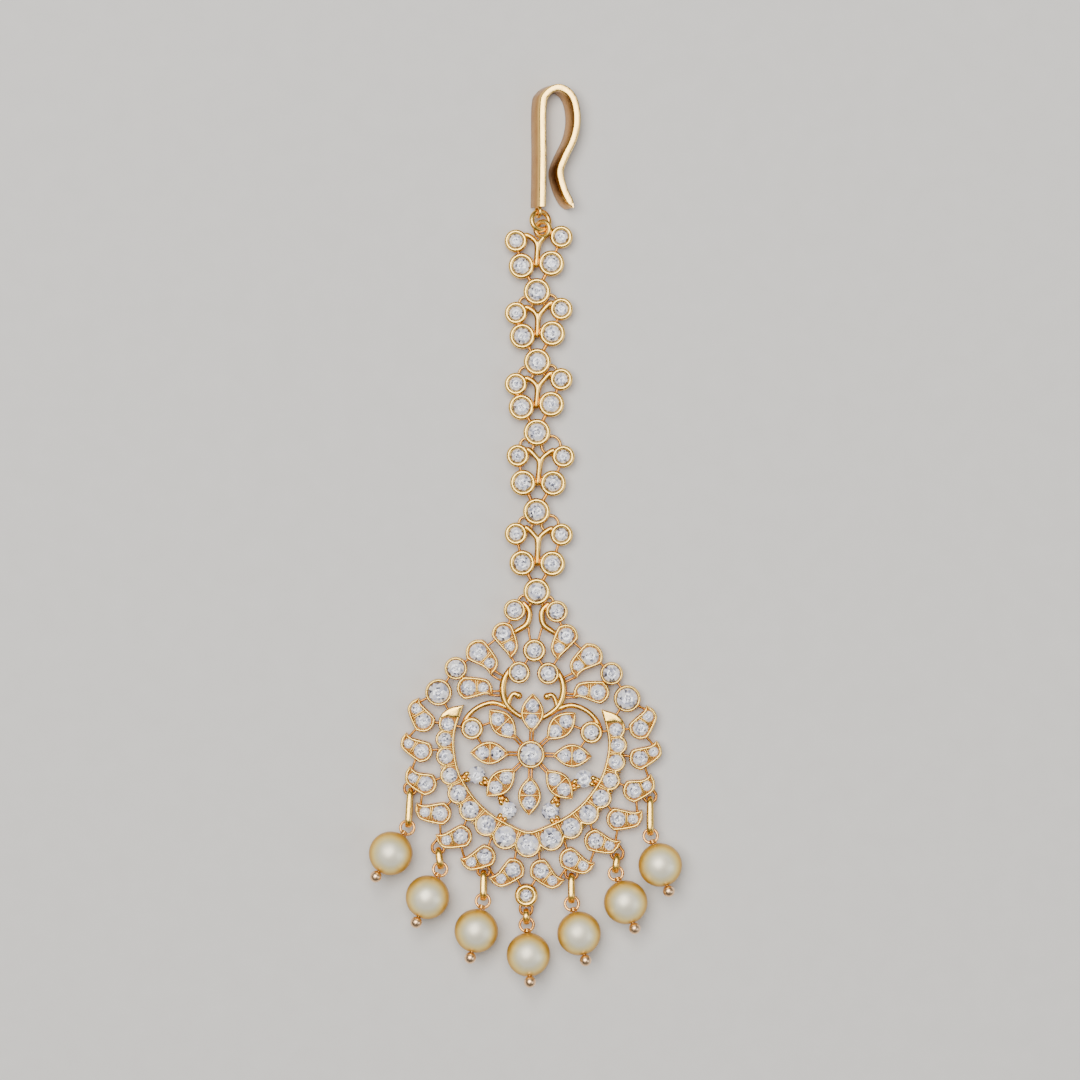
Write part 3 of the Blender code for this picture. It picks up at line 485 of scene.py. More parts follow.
def brilliant(shape, x, y, girdle, radius, deep=False):
    """A round brilliant, opaque, with a painted reflection in each facet. The pavilion's mirror pattern, seen
    through the table, is laid out in the table.
    """
    eighth = math.pi / 4.0
    turn = Matrix.Rotation(RANDOM.uniform(0.0, eighth), 4, "Z")
    lean = Matrix.Identity(4)
    for axis in ("X", "Y"):
        lean = lean @ Matrix.Rotation(math.radians(RANDOM.uniform(-STONE_LEAN, STONE_LEAN)), 4, axis)
    place = Matrix.Translation((x, y, girdle)) @ lean @ turn @ Matrix.Scale(radius, 4)
    points = [(0.0, 0.0, TABLE_HEIGHT + RANDOM.uniform(-0.03, 0.03))]
    starts = {"heart": 0}
    for name, share, height, offset, uneven in STONE_RINGS:
        starts[name] = len(points)
        for k in range(8):
            shift = RANDOM.uniform(-uneven, uneven) if uneven else 0.0
            points.append((*polar((k + offset) * eighth, share), height + shift))
    for name, (share, height) in (("girdle", (1.0, 0.0)), ("under", DEEP_FOOT if deep else SHALLOW_FOOT)):
        starts[name] = len(points)
        points += [(*polar(k * eighth / 2.0, share), height) for k in range(16)]
    faces, tints = [], []

    def facet(weights, *corners):
        faces.append([starts[name] + k % (16 if name in ("girdle", "under") else 8) for name, k in corners])
        tints.append(reflection_shade(weights))

    for k in range(8):
        n = k + 1
        facet((3, 4, 3, 2), ("heart", 0), ("core", k - 1), ("core", k))
        facet((4, 4, 2, 1), ("core", k), ("arrow", k), ("arrow", n))
        facet((2, 3, 4, 4), ("core", k - 1), ("arrow", k), ("core", k))
        facet((8, 4, 2, 1), ("arrow", k), ("table", k), ("table", n), ("arrow", n))
        facet((6, 5, 2, 1), ("table", k), ("kite", k), ("table", n))
        facet((7, 4, 2, 1), ("table", n), ("kite", k), ("girdle", 2 * n))
        facet((7, 4, 2, 1), ("table", n), ("girdle", 2 * n), ("kite", n))
        facet((5, 4, 3, 3), ("kite", k), ("girdle", 2 * k), ("girdle", 2 * k + 1))
        facet((5, 4, 3, 3), ("kite", k), ("girdle", 2 * k + 1), ("girdle", 2 * n))
    for k in range(16):
        facet((2, 3, 3, 2), ("girdle", k), ("under", k), ("under", k + 1), ("girdle", k + 1))
    shape.add(points, faces, STONE, smooth=False, tints=tints, place=place)


# Settings

# The crest of a round bezel's rim: share of its wall from the stone outward, and how far under the top
BEZEL_CREST = ((0.22, 0.07), (0.38, 0.015), (0.55, 0.0), (0.72, 0.03), (0.86, 0.12), (0.95, 0.26))

# The wall and rim of a flat setting: distance inward, and height
RIM_SECTION = (
    (0.06, 0.00), (0.01, 0.10), (0.00, 0.40), (0.00, 1.80), (0.01, 2.06), (0.035, 2.18), (0.09, 2.26),
    (0.18, 2.295), (0.28, 2.285), (0.35, 2.21), (0.375, 2.08), (0.38, 1.90), (0.40, 1.84),
)


def round_bezel(shape, x, y, outer, stone, low=0.0):
    """A bezel with a thick rounded rim, a dark disc of painted shade under the stone's girdle, and the stone.
    """
    lip, top = stone + 0.05, SETTING_TOP
    crest = [(stone + share * (outer - stone), top - drop) for share, drop in BEZEL_CREST]
    profile = [
        (lip - 0.03, FLOOR - 0.35), (lip, FLOOR - 0.05), (lip + 0.03, top - 0.16), *crest,
        (outer - 0.01, top - 0.46), (outer, top - 0.75), (outer - 0.01, low + 0.35), (outer - 0.05, low + 0.12),
        (outer - 0.14, low + 0.02), (outer - 0.22, low), (0.0, low),
    ]
    place = Matrix.Translation((x, y, 0.0))
    lathe(shape, profile, 56, place)
    # A dark disc under the stone: painted shade at its girdle
    lathe(shape, ((0.0, FLOOR - 0.30), (lip - 0.02, FLOOR - 0.34)), 40, place, PIT_SHADE)
    brilliant(shape, x, y, FLOOR + 0.02, stone)


def grains(shape, centre, radius, facing, degrees, size=0.15):
    """Small raised grains that hold a stone, at these degrees from the way that it faces."""
    for heading in [math.atan2(facing.y, facing.x) + math.radians(a) for a in degrees]:
        at = polar(heading, radius + 0.06, centre)
        grow = RANDOM.uniform(0.85, 1.15) * size
        lump(shape, (*at, FLOOR + 0.12), (grow, grow * RANDOM.uniform(0.8, 1.1), 0.9 * grow), heading)


def stone_setting(shape, outline, tips, half_angle):
    """The metal of a flat setting: wall, raised rim and recessed floor, the floor nearly black as painted
    shade.
    """
    outline = anticlockwise(outline)
    edge_sweep(shape, outline, RIM_SECTION, tips, half_angle)
    # The sunken floor, nearly black: painted shade
    fill(shape, outline, PIT_FLOOR, PIT_SHADE)
    fill(shape, outline, SETTING_BACK, facing_up=False)


def mango_outline(large, large_radius, small, small_radius, tip):
    """A paisley outline: round head, one full side, one hollow side and a pointed tip."""
    axis = (small - large).normalized()
    to_tip = (tip - small).normalized()
    turn = 1.0 if axis.cross(to_tip) > 0.0 else -1.0
    full, waist, end = (Vector((d.y, -d.x)).normalized() * turn for d in (axis, axis + to_tip, to_tip))
    head = large_radius + MANGO_RIM
    neck = small_radius + 0.9 * MANGO_RIM
    half_way = (small + tip) / 2.0
    arc = [large + (full * math.cos(a) - axis * math.sin(a)) * head
           for a in (math.radians(10.0 + 26.7 * step) for step in range(7))]
    near_tip = small.lerp(tip, 0.80)
    full_side = [near_tip + end * 0.36 * neck, half_way + end * 0.76 * neck, small + waist * 1.02 * neck]
    hollow_side = [small - waist * 0.95 * neck, half_way - end * 0.46 * neck, near_tip - end * 0.17 * neck]
    return smooth_line([tip, *full_side, *arc, *hollow_side, tip], 6)[:-1]


def divider(shape, one, one_radius, other, other_radius, half_length, shifts=(-0.10, 0.10), wire=0.075):
    """Straight ridges across a flat setting, between two stones; shifts are their places along the gap."""
    along = (other - one).normalized()
    across = Vector((-along.y, along.x))
    gap = (other - one).length - one_radius - other_radius
    middle = one + along * (one_radius + gap / 2.0)
    for shift in shifts:
        path = [(*(middle + along * (shift * (1.0 + 0.5 * abs(t))) + across * half_length * t),
                 FLOOR + 0.10 + 0.05 * (1.0 - t * t)) for t in (-1.0, -0.5, 0.0, 0.5, 1.0)]
        tube(shape, smooth_line(path, 3), wire, 10)


def mango(shape, row, side):
    lx, ly, lr, sx, sy, sr, tx, ty = row
    large, small, tip = Vector((side * lx, ly)), Vector((side * sx, sy)), Vector((side * tx, ty))
    stone_setting(shape, mango_outline(large, lr, small, sr, tip), (tip,), 36.0)
    brilliant(shape, *large, STONE_LEVEL, lr)
    brilliant(shape, *small, STONE_LEVEL, sr)
    facing = (small - large).normalized()
    divider(shape, large, lr, small, sr, 0.92 * lr)
    grains(shape, large, lr, facing, (-64.0, 62.0, 150.0, 215.0))
    grains(shape, small, sr, facing, (-36.0, 45.0, 118.0, -116.0), 0.14)


def petal(shape, index):
    heading = math.pi / 2.0 + index * 2.0 * math.pi / PETAL_COUNT
    along = polar(heading)
    across = Vector((-along.y, along.x))
    steps = 22
    edge = []
    for step in range(1, steps):
        share = step / steps
        reach = PETAL_INNER_TIP + (PETAL_OUTER_TIP - PETAL_INNER_TIP) * share
        edge.append((reach, PETAL_WIDTH / 2.0 * math.sin(math.pi * share) ** 0.8))
    tips = (along * PETAL_INNER_TIP, along * PETAL_OUTER_TIP)
    outline = [tips[0], *(along * a + across * b for a, b in edge), tips[1],
               *(along * a - across * b for a, b in reversed(edge))]
    stone_setting(shape, outline, tips, 38.0)
    near, far = (along * r for r in PETAL_STONES)
    for centre, facing in ((near, along), (far, -along)):
        brilliant(shape, *centre, STONE_LEVEL, PETAL_STONE_RADIUS)
        grains(shape, centre, PETAL_STONE_RADIUS, facing, (-58.0, 58.0, 152.0, 208.0))
    divider(shape, near, PETAL_STONE_RADIUS, far, PETAL_STONE_RADIUS, 0.5 * PETAL_WIDTH - 0.30, (0.0,), 0.10)
    for shift in (-PETAL_WIRE_SHIFT, PETAL_WIRE_SHIFT):
        start, end = (along * reach + across * shift for reach in PETAL_WIRE_ENDS)
        tube(shape, [(*start, STRUT_LEVEL), (*end, STRUT_LEVEL + 0.15)], PETAL_WIRE, 10, slot=RECESS_SHADE)


def crescent_lines():
    """The stones, and the outer and inner edges of the crescent."""
    right = [Vector((x, y, r)) for x, y, r in CRESCENT]
    stones = [*right, *reversed([Vector((-p.x, p.y, p.z)) for p in right[:-1]])]
    outer, inner = [], []
    for i, stone in enumerate(stones):
        before, after = stones[max(i - 1, 0)], stones[min(i + 1, len(stones) - 1)]
        along = Vector((after.x - before.x, after.y - before.y)).normalized()
        out = Vector((along.y, -along.x))
        out = out if out.dot(stone.xy) > 0.0 else -out
        reach = stone.z + CRESCENT_RIM
        for step in range(-9, 10):
            angle = math.radians(9.0 * step)
            point = stone.xy + (out * math.cos(angle) + along * math.sin(angle)) * reach
            hidden = any((point - s.xy).length < s.z + CRESCENT_RIM - 0.01 for s in stones if s is not stone)
            if not hidden:
                outer.append(point)
        inner.append(stone.xy - out * reach)
    return stones, outer, inner


def horn_lines(first, side):
    """The tip and the outer side of the horn beyond the first stone, and the horn's whole line and middle."""
    belly, base, inside, (middle,) = ([Vector((side * (first.x + x), first.y + y)) for x, y in rows]
                                      for rows in (HORN_BELLY, HORN_BASE, HORN_INSIDE, (HORN_MIDDLE,)))
    tip = Vector((side * CRESCENT_HORN[0], CRESCENT_HORN[1]))
    edge = smooth_line([*base, inside[0]], 4)[:-1]
    return tip, belly, [*smooth_line([tip, *belly], 6), *edge, *smooth_line([*inside, tip], 6)[:-1]], middle


def crescent(shape):
    stones, outer, inner = crescent_lines()
    horns = [horn_lines(stones[0], side) for side in (1, -1)]
    (tip, belly, *_), (left_tip, left_belly, *_) = horns
    outer = [point for point in outer if point.y < stones[0].y + HORN_FOOT]
    outline = [*smooth_line([tip, *belly, outer[0]], 6)[:-1], *outer,
               *smooth_line([outer[-1], *reversed(left_belly), left_tip], 6)[1:],
               *reversed(smooth_line([tip, *inner, left_tip], 6)[1:-1])]
    stone_setting(shape, outline, (tip, left_tip), 30.0)
    for i, stone in enumerate(stones):
        brilliant(shape, stone.x, stone.y, STONE_LEVEL, stone.z)
        for other in stones[max(i - 1, 0):i] + stones[i + 1:i + 2]:
            grains(shape, stone.xy, stone.z, (other.xy - stone.xy).normalized(), (-52.0, 52.0), 0.14)
            if other is stones[i - 1]:
                divider(shape, stone.xy, stone.z, other.xy, other.z, 0.80 * min(stone.z, other.z) + 0.20)
    for _, _, line, middle in horns:
        cap(shape, anticlockwise(line), middle, HORN_RINGS)


def prong_stone(shape, row, side):
    """A stone that only prongs hold: its side shows, and rough gold lumps grip it."""
    x, y, radius, outward, inward = row
    centre = Vector((side * x, y))
    girdle = SETTING_TOP - 2.0 * RELIEF
    brilliant(shape, *centre, girdle, radius, deep=True)
    for far in (outward, inward):
        end = Vector((side * far[0], far[1]))
        reach = (end - centre).normalized()
        cross = Vector((-reach.y, reach.x))
        tube(shape, [(*centre, STRUT_LEVEL - 0.25), (*end, STRUT_LEVEL)], PRONG_ARM, 12, slot=RECESS_SHADE)
        heading = math.atan2(reach.y, reach.x)
        for shift in PRONG_SHIFTS:
            at = centre + reach * (radius + 0.05) + cross * shift
            grow = RANDOM.uniform(0.9, 1.15)
            lump(shape, (*at, girdle + 0.05), (0.46 * grow, 0.34 * grow, 0.38), heading)
            foot = at + reach * 0.18
            tube(shape, [(*at, girdle), (*foot, STRUT_LEVEL - 0.2)], PRONG_WIRE, 10, slot=RECESS_SHADE)
        far_at = centre + reach * (radius + 0.45)
        lump(shape, (*far_at, STRUT_LEVEL + 0.30), (0.54, 0.52, 0.40), heading + 0.4, RECESS_SHADE)
        side_at = far_at + cross * 0.32 + reach * 0.18
        lump(shape, (*side_at, STRUT_LEVEL + 0.42), (0.38, 0.32, 0.34), heading - 0.5)


def scroll(shape, rows, side):
    path = smooth_line([(side * x, y, share) for x, y, share in rows], 8)
    level = FLOOR - SCROLL_WIRE
    tube(shape, [(p.x, p.y, level) for p in path], [p.z * SCROLL_WIRE for p in path], 16, slot=POLISHED)


def build_pendant(materials):
    settings = Shape()
    for name, x, y, outer, stone in ROUND_PAIRS:
        for side in (-1, 1):
            round_bezel(settings, side * x, y, outer, stone, HINGE_SPACE if name == "top" else 0.0)
    for _, y, outer, stone in ROUND_MIDDLE:
        round_bezel(settings, 0.0, y, outer, stone)
    for side in (-1, 1):
        for row in MANGOES:
            mango(settings, row, side)
        for row in PRONG_STONES:
            prong_stone(settings, row, side)
    piece("pendant_settings", settings, materials, ["pendant"], TURN)
    centre = Shape()
    for index in range(PETAL_COUNT):
        petal(centre, index)
    crescent(centre)
    piece("pendant_crescent_and_petals", centre, materials, (), TURN)
    wires = Shape()
    for side in (-1, 1):
        for (ax, ay), (bx, by) in STRUTS:
            bend = RANDOM.uniform(-0.08, 0.08)
            start, end = Vector((side * ax, ay, STRUT_LEVEL)), Vector((side * bx, by, STRUT_LEVEL))
            middle = (start + end) / 2.0 + Vector((bend, bend, 0.12))
            tube(wires, smooth_line([start, middle, end], 4), STRUT_RADIUS, 10, slot=RECESS_SHADE)
        for rows in (LYRE, LYRE_CURL, SIDE_ARC, COMMA):
            scroll(wires, rows, side)
        x, y, _ = LYRE_CURL[-1]
        lump(wires, (side * x, y, FLOOR - SCROLL_WIRE), (0.52, 0.52, 0.46), slot=POLISHED, sides=20, rings=12)
    for row in DROPS:
        drop_eye(wires, row)
    piece("pendant_wires_and_scrolls", wires, materials, (), TURN)


def drop_eye(shape, row):
    """An open U of wire on the pendant's edge, which carries a drop's long ring."""
    x, y, heading = row[0], row[1], math.radians(row[2])
    out = Vector((math.sin(heading), math.cos(heading)))
    across = Vector((out.y, -out.x))
    half = DROP_RING_BREADTH + CLEAR + EYE_WIRE
    reach = DROP_RING_WIRE + CLEAR + EYE_WIRE
    section = [*EYE_SIDE, *((a, -b) for a, b in reversed(EYE_SIDE))]
    path = [(*(Vector((x, y)) + out * (a * reach) + across * (b * half)), EYE_LEVEL) for a, b in section]
    tube(shape, smooth_line(path, 4), EYE_WIRE, 12, slot=RECESS_SHADE)


# Chain

def turned_point(x, y):
    return (TURN @ Vector((x, y, 0.0))).xy


def chain_rows():
    rows, pair_height = [], ROUND_PAIRS[0][2]
    for rise, x, rise_large, rise_small, drift_large, drift_small, slope in CHAIN_UNITS:
        single = Vector((x * UNIT_LENGTH, pair_height + rise * HINGE_RISE))
        lean = polar(math.radians(slope))
        large = single + Vector((drift_large, rise_large)) * UNIT_LENGTH
        small = single + Vector((drift_small, rise_small)) * UNIT_LENGTH
        rows.insert(0, {
            "single": single,
            "large": [large + lean * s * LARGE_SPACING / 2.0 for s in (-1, 1)],
            "small": [small + lean * s * SMALL_SPACING / 2.0 for s in (-1, 1)],
            "fork": small + Vector(FORK) * SMALL_BEZEL,
            "foot": large,
        })
        pair_height = small.y
    return rows


def top_loop_place(row):
    centre = row["fork"] + Vector(TOP_LOOP_FROM_FORK) * SMALL_BEZEL
    return Matrix.Translation((*centre, TOP_LOOP_LEVEL)) @ Matrix.Rotation(TOP_LOOP_TILT, 4, "Y")


def chain_unit(shape, row, is_top):
    wall = CHAIN_BEZEL_WALL
    round_bezel(shape, *row["single"], SINGLE_BEZEL, SINGLE_BEZEL - wall, HINGE_SPACE)
    stem = [(*row["fork"], STEM_LEVEL), (*((row["fork"] + row["foot"]) / 2.0), STEM_LEVEL - 0.05),
            (*row["foot"], STEM_LEVEL - 0.15)]
    for i, side in enumerate((-1, 1)):
        small, large, fork = row["small"][i], row["large"][i], row["fork"]
        round_bezel(shape, *large, LARGE_BEZEL, LARGE_BEZEL - wall, 0.0)
        round_bezel(shape, *small, SMALL_BEZEL, SMALL_BEZEL - wall, 0.0 if is_top else HINGE_SPACE)
        arm = [small + Vector((side * x, y)) * SMALL_BEZEL for x, y in ARM_FROM_BEZEL]
        arm += [fork + Vector((side * ARM_FROM_FORK[0], ARM_FROM_FORK[1])) * SMALL_BEZEL]
        arm += [fork + Vector((side * 0.13, -0.25))]
        path = smooth_line([*((*p, STEM_LEVEL) for p in arm), stem[1]], 8)
        sizes = [STEM_RADIUS * (0.86 + 0.14 * min(k / 8.0, 1.0)) for k in range(len(path))]
        tube(shape, path, sizes, 16, slot=POLISHED)
        for start, end, wire in ((small, large, CHAIN_WIRE), (large, row["single"], 1.25 * CHAIN_WIRE)):
            arch = [(*start, STRUT_LEVEL), (*((start + end) / 2.0), STRUT_LEVEL + 0.3), (*end, STRUT_LEVEL)]
            tube(shape, smooth_line(arch, 4), wire, 10, slot=RECESS_SHADE)
    tube(shape, smooth_line(stem, 6), 1.05 * STEM_RADIUS, 16, slot=POLISHED)
    if is_top:
        torus(shape, TOP_LOOP_RADIUS, TOP_LOOP_WIRE, top_loop_place(row), slot=POLISHED)


def staple(shape, centre, along, level):
    """A square arch of wire under a bezel, which a hinge ring passes through."""
    half = HINGE_RING_WIRE + CLEAR + STAPLE_WIRE
    side = ((half, HINGE_SPACE + STAPLE_ROOT), (half, level - 0.5 * half), (0.5 * half, level - half))
    section = [*side, *((-a, z) for a, z in reversed(side))]
    path = [(centre.x + along.x * a, centre.y + along.y * a, z) for a, z in section]
    tube(shape, path, STAPLE_WIRE, 10, slot=RECESS_SHADE)


def build_chain(materials):
    rows = chain_rows()
    rings, names = Shape(), []
    staples = [Shape() for _ in range(len(rows) + 1)]
    _, top_x, top_y, top_radius, _ = ROUND_PAIRS[0]
    arch = HINGE_RING_WIRE + CLEAR + STAPLE_WIRE
    level = arch + STAPLE_WIRE
    for number, row in enumerate(rows, start=1):
        for i, side in enumerate((-1, 1)):
            if number == len(rows):
                lower, lower_radius = turned_point(side * top_x, top_y), top_radius
            else:
                lower, lower_radius = rows[number]["small"][i], SMALL_BEZEL
            between = lower - row["single"]
            along = between.normalized()
            gap = between.length - SINGLE_BEZEL - lower_radius
            middle = row["single"] + along * (SINGLE_BEZEL + gap / 2.0)
            radius = gap / 2.0 + HINGE_SINK + arch
            torus(rings, radius, HINGE_RING_WIRE, Matrix.Translation((*middle, level)), 32, 12, POLISHED)
            names.append(f"hinge_ring_{number}_{('left', 'right')[i]}")
            staple(staples[number - 1], middle - along * radius, along, level)
            staple(staples[number], middle + along * radius, along, level)
    piece("hinge_rings", rings, materials, names)
    piece("pendant_hinge_staples", staples[-1], materials)
    for number, row in enumerate(rows, start=1):
        unit = Shape()
        chain_unit(unit, row, number == 1)
        piece(f"chain_unit_{number}_metal_and_stones", unit, materials, [f"chain_unit_{number}"])
        piece(f"chain_unit_{number}_staples", staples[number - 1], materials)
    return rows[0]


# Hook

def hook_section(half, deep):
    """The strip's section, with its long edges rounded a little."""
    corner = [(0.0, HOOK_BEVEL), (0.3 * HOOK_BEVEL, 0.3 * HOOK_BEVEL), (HOOK_BEVEL, 0.0)]
    section = []
    for sx, sz in ((1, 1), (-1, 1), (-1, -1), (1, -1)):
        arc = [(sx * (half - a), sz * (deep - b)) for a, b in corner]
        section += arc if sx * sz > 0 else list(reversed(arc))
    return section


def hook_strip(shape, foot, deep):
    line = smooth_line([(x * HOOK_SPAN, y * HOOK_LENGTH) for x, y in HOOK_LINE], 10)
    beyond = line[-1] + (line[-1] - line[-2]).normalized() * 1.2 * HOOK_THICKNESS
    shares = [(k + 1) / 8 for k in range(8)]
    widths = [1.0] * len(line) + [max(1.0 - share ** 1.6, 0.02) for share in shares]
    line += [line[-1].lerp(beyond, share) for share in shares]
    section = hook_section(HOOK_THICKNESS / 2.0, deep)
    points = []
    for i, point in enumerate(line):
        along = (line[min(i + 1, len(line) - 1)] - line[max(i - 1, 0)]).normalized()
        across = Vector((-along.y, along.x))
        for a, z in section:
            at = foot + point + across * a * widths[i]
            points.append((at.x + z * math.tan(HOOK_LEAN), at.y, z + deep))
    wide = len(section)
    ends = [list(reversed(range(wide))), list(range(len(points) - wide, len(points)))]
    shape.add(points, skin(len(line), wide) + ends)


def build_hook(top, materials):
    loop = top_loop_place(top).translation.xy
    held = loop - Vector((0.0, 0.08 * TOP_LOOP_RADIUS))
    apart = TOP_LOOP_RADIUS + SOLID_TOP_LOOP_WIRE + CLEAR + HOOK_EYE_RADIUS + HOOK_EYE_WIRE
    eye_centre = loop + Vector((-HOOK_EYE_LEFT, apart))
    deep = HOOK_DEPTH / 2.0
    high, low = Vector((*eye_centre, deep)), Vector((*held, TOP_LOOP_LEVEL))
    hook = Shape()
    hook_strip(hook, eye_centre + Vector((0.0, 0.85 * HOOK_EYE_RADIUS)), deep)
    on_edge = Matrix.Translation(high) @ Matrix.Rotation(math.pi / 2.0 + HOOK_LEAN, 4, "Y")
    torus(hook, HOOK_EYE_RADIUS, HOOK_EYE_WIRE, on_edge, 32, 12, slot=1)
    made = piece("hook_strip_and_eye", hook, (materials[BRUSHED], materials[POLISHED]), ["hook"])
    made.data.set_sharp_from_angle(angle=math.radians(40.0))
    tilted = Matrix.Rotation(HOOK_RING_TILT, 3, "Y") @ Vector((1.0, 0.0, 0.0))
    along = (high - low).normalized()
    level = (tilted - along * tilted.dot(along)).normalized()
    turned = Matrix((level, along, level.cross(along))).transposed().to_4x4()
    place = Matrix.Translation((high + low) / 2.0) @ turned
    ring = Shape()
    torus(ring, (high - low).length / 2.0, HOOK_RING_WIRE, place, 56, 16, POLISHED)
    piece("hook_ring_wire", ring, materials, ["hook_ring"])


# Drops

def along_y(origin, direction):
    y = direction.normalized()
    x = y.cross(UP).normalized()
    return Matrix.Translation(origin) @ Matrix((x, y, x.cross(y))).transposed().to_4x4()


def long_ring(shape, length, place):
    """An oval ring on its edge, its wire broadest at the far end."""
    radius = min(DROP_RING_HEIGHT, length) / 2.0
    half = 16
    arcs = []
    for centre, first in ((radius, math.pi / 2.0), (length - radius, -math.pi / 2.0)):
        for step in range(half):
            angle = first + math.pi * step / (half - 1)
            arcs.append(Vector((0.0, centre + radius * math.cos(angle), radius * math.sin(angle))))
    path = []
    for start, end in zip(arcs, [*arcs[1:], arcs[0]]):
        path.append(start)
        if (end - start).length > 0.4:
            path += [start.lerp(end, t / 8.0) for t in range(1, 8)]
    points = []
    aside = Vector((1.0, 0.0, 0.0))
    sides = 16
    for i, point in enumerate(path):
        rise = (path[(i + 1) % len(path)] - path[i - 1]).normalized().cross(aside)
        share = min(max(point.y / length, 0.0), 1.0)
        broad = DROP_RING_BREADTH * (0.62 + 0.38 * math.sin(math.pi * min(0.15 + 0.62 * share, 0.5)))
        points += [point + aside * (broad * x) + rise * (DROP_RING_WIRE * y) for x, y in circle(sides)]
    shape.add(points, skin(len(path), sides, rows_close=True), POLISHED, place=place)


def head_pin(shape, place):
    """Ball end, shaft, wound neck and loop."""
    loop_at = PEARL_DIAMETER / 2.0 + PIN_NECK + PIN_LOOP_RADIUS
    ball_at = -PEARL_DIAMETER / 2.0 - BALL_RADIUS - BALL_CLEAR
    neck_low, neck_high = PEARL_DIAMETER / 2.0 + CLEAR, PEARL_DIAMETER / 2.0 + PIN_NECK + PIN_WIRE
    torus(shape, PIN_LOOP_RADIUS, PIN_LOOP_WIRE, place @ Matrix.Translation((0.0, loop_at, 0.0)), 40, 12)
    tube(shape, [(0.0, ball_at, 0.0), (0.0, neck_high + 0.1, 0.0)], 0.9 * PIN_WIRE, 12, place=place)
    lathe(shape, ball_profile(18, BALL_RADIUS), 32, place @ Matrix.Translation((0.0, ball_at, 0.0)), slot=1)
    around = 16
    path = []
    for k in range(int(NECK_TURNS * around) + 1):
        angle = 2.0 * math.pi * k / around
        share = k / (NECK_TURNS * around)
        radius = 2.1 * PIN_WIRE * (1.0 + 0.25 * (1.0 - share))
        level = neck_low + (neck_high - neck_low + 0.1) * share
        path.append((radius * math.cos(angle), level, radius * math.sin(angle)))
    tube(shape, path, NECK_WIRE, 10, place=place)


def pearl(shape, place):
    radius, hole = PEARL_DIAMETER / 2.0, PIN_WIRE + CLEAR
    mouth = math.asin(hole / radius)
    steps = 40
    profile = []
    for step in range(steps + 1):
        angle = mouth + (math.pi - 2.0 * mouth) * step / steps
        profile.append((radius * math.sin(angle), radius * math.cos(angle)))
    profile += [(hole * 0.95, -radius * 0.9), (hole * 0.95, radius * 0.9), profile[0]]
    lathe(shape, profile, 64, place @ Matrix.Rotation(-math.pi / 2.0, 4, "X"))


def build_drops(materials, pin_materials, pearl_materials):
    inside = PIN_LOOP_RADIUS - PIN_WIRE
    bulge = PIN_LOOP_RADIUS - math.sqrt(inside ** 2 - DROP_RING_BREADTH ** 2)
    for number, (eye_x, eye_y, _, off_x, off_y, *angles) in enumerate(DROPS, start=1):
        lean, dip = (math.radians(angle) for angle in angles)
        eye = Vector((eye_x, eye_y, EYE_LEVEL))
        centre = Vector((eye.x + off_x, eye.y + off_y, PEARL_DIAMETER / 2.0))
        level = math.cos(dip)
        axis = Vector((math.sin(lean) * level, math.cos(lean) * level, -math.sin(dip)))
        held = PEARL_DIAMETER / 2.0 + PIN_NECK + 2.0 * PIN_LOOP_RADIUS - bulge - CLEAR - DROP_RING_WIRE
        reach = centre + axis * held - eye
        at = along_y(centre, axis)
        ring, pin, bead = Shape(), Shape(), Shape()
        long_ring(ring, reach.length, along_y(eye, reach))
        head_pin(pin, at)
        pearl(bead, at)
        piece(f"drop_ring_{number}_wire", ring, materials, [f"drop_ring_{number}"], TURN)
        piece(f"drop_pin_{number}_wire", pin, pin_materials, [f"drop_pin_{number}"], TURN)
        piece(f"drop_pearl_{number}_bead", bead, pearl_materials, [f"drop_pearl_{number}"], TURN)


# Materials

class Look:
    """A material that is put together from nodes."""

    def __init__(self, name, **values):
        self.material = bpy.data.materials.new(name)
        self.material.use_nodes = True
        self.nodes, self.links = self.material.node_tree.nodes, self.material.node_tree.links
        self.shader = self.nodes["Principled BSDF"]
        for value, number in values.items():
            self.shader.inputs[value.replace("_", " ")].default_value = number
        self.place = self.nodes.new("ShaderNodeTexCoord").outputs["Object"]

    def node(self, kind, result, **inputs):
        """A node's output, after each input is linked if it is given a socket, and otherwise set."""
        made = self.nodes.new("ShaderNode" + kind)
        if kind == "Mix":
            made.data_type = "RGBA"
        for name, value in inputs.items():
            socket = made.inputs[name.replace("_", " ")]
            if isinstance(value, bpy.types.NodeSocket):
                self.links.new(value, socket)
            else:
                socket.default_value = value
        return made.outputs[result]

    def height(self):
        return self.node("SeparateXYZ", "Z", Vector=self.place)

    def noise(self, scale, detail, stretch=None):
        place = self.node("Mapping", "Vector", Vector=self.place, Scale=stretch) if stretch else self.place
        return self.node("TexNoise", "Fac", Vector=place, Scale=scale, Detail=detail)

    def mixed(self, share, one, two):
        """One colour over another; the share is a socket."""
        one, two = ((*value, 1.0) if isinstance(value, tuple) else value for value in (one, two))
        return self.node("Mix", "Result", Factor=share, A=one, B=two)

    def span(self, value, low, high, to_low=0.0, to_high=1.0):
        return self.node("MapRange", "Result", Value=value, From_Min=low, From_Max=high, To_Min=to_low,
                         To_Max=to_high)

    def ramp(self, value, stops):
        """A colour for each value; stops list position and colour."""
        colour = self.node("ValToRGB", "Color", Fac=value)
        elements = colour.node.color_ramp.elements
        while len(elements) < len(stops):
            elements.new(0.5)
        for element, (position, shade_of_stop) in zip(elements, stops):
            element.position = position
            element.color = (*shade_of_stop, 1.0)
        return colour

    def finished(self, **inputs):
        for name, value in inputs.items():
            self.links.new(value, self.shader.inputs[name.replace("_", " ")])
        return self.material


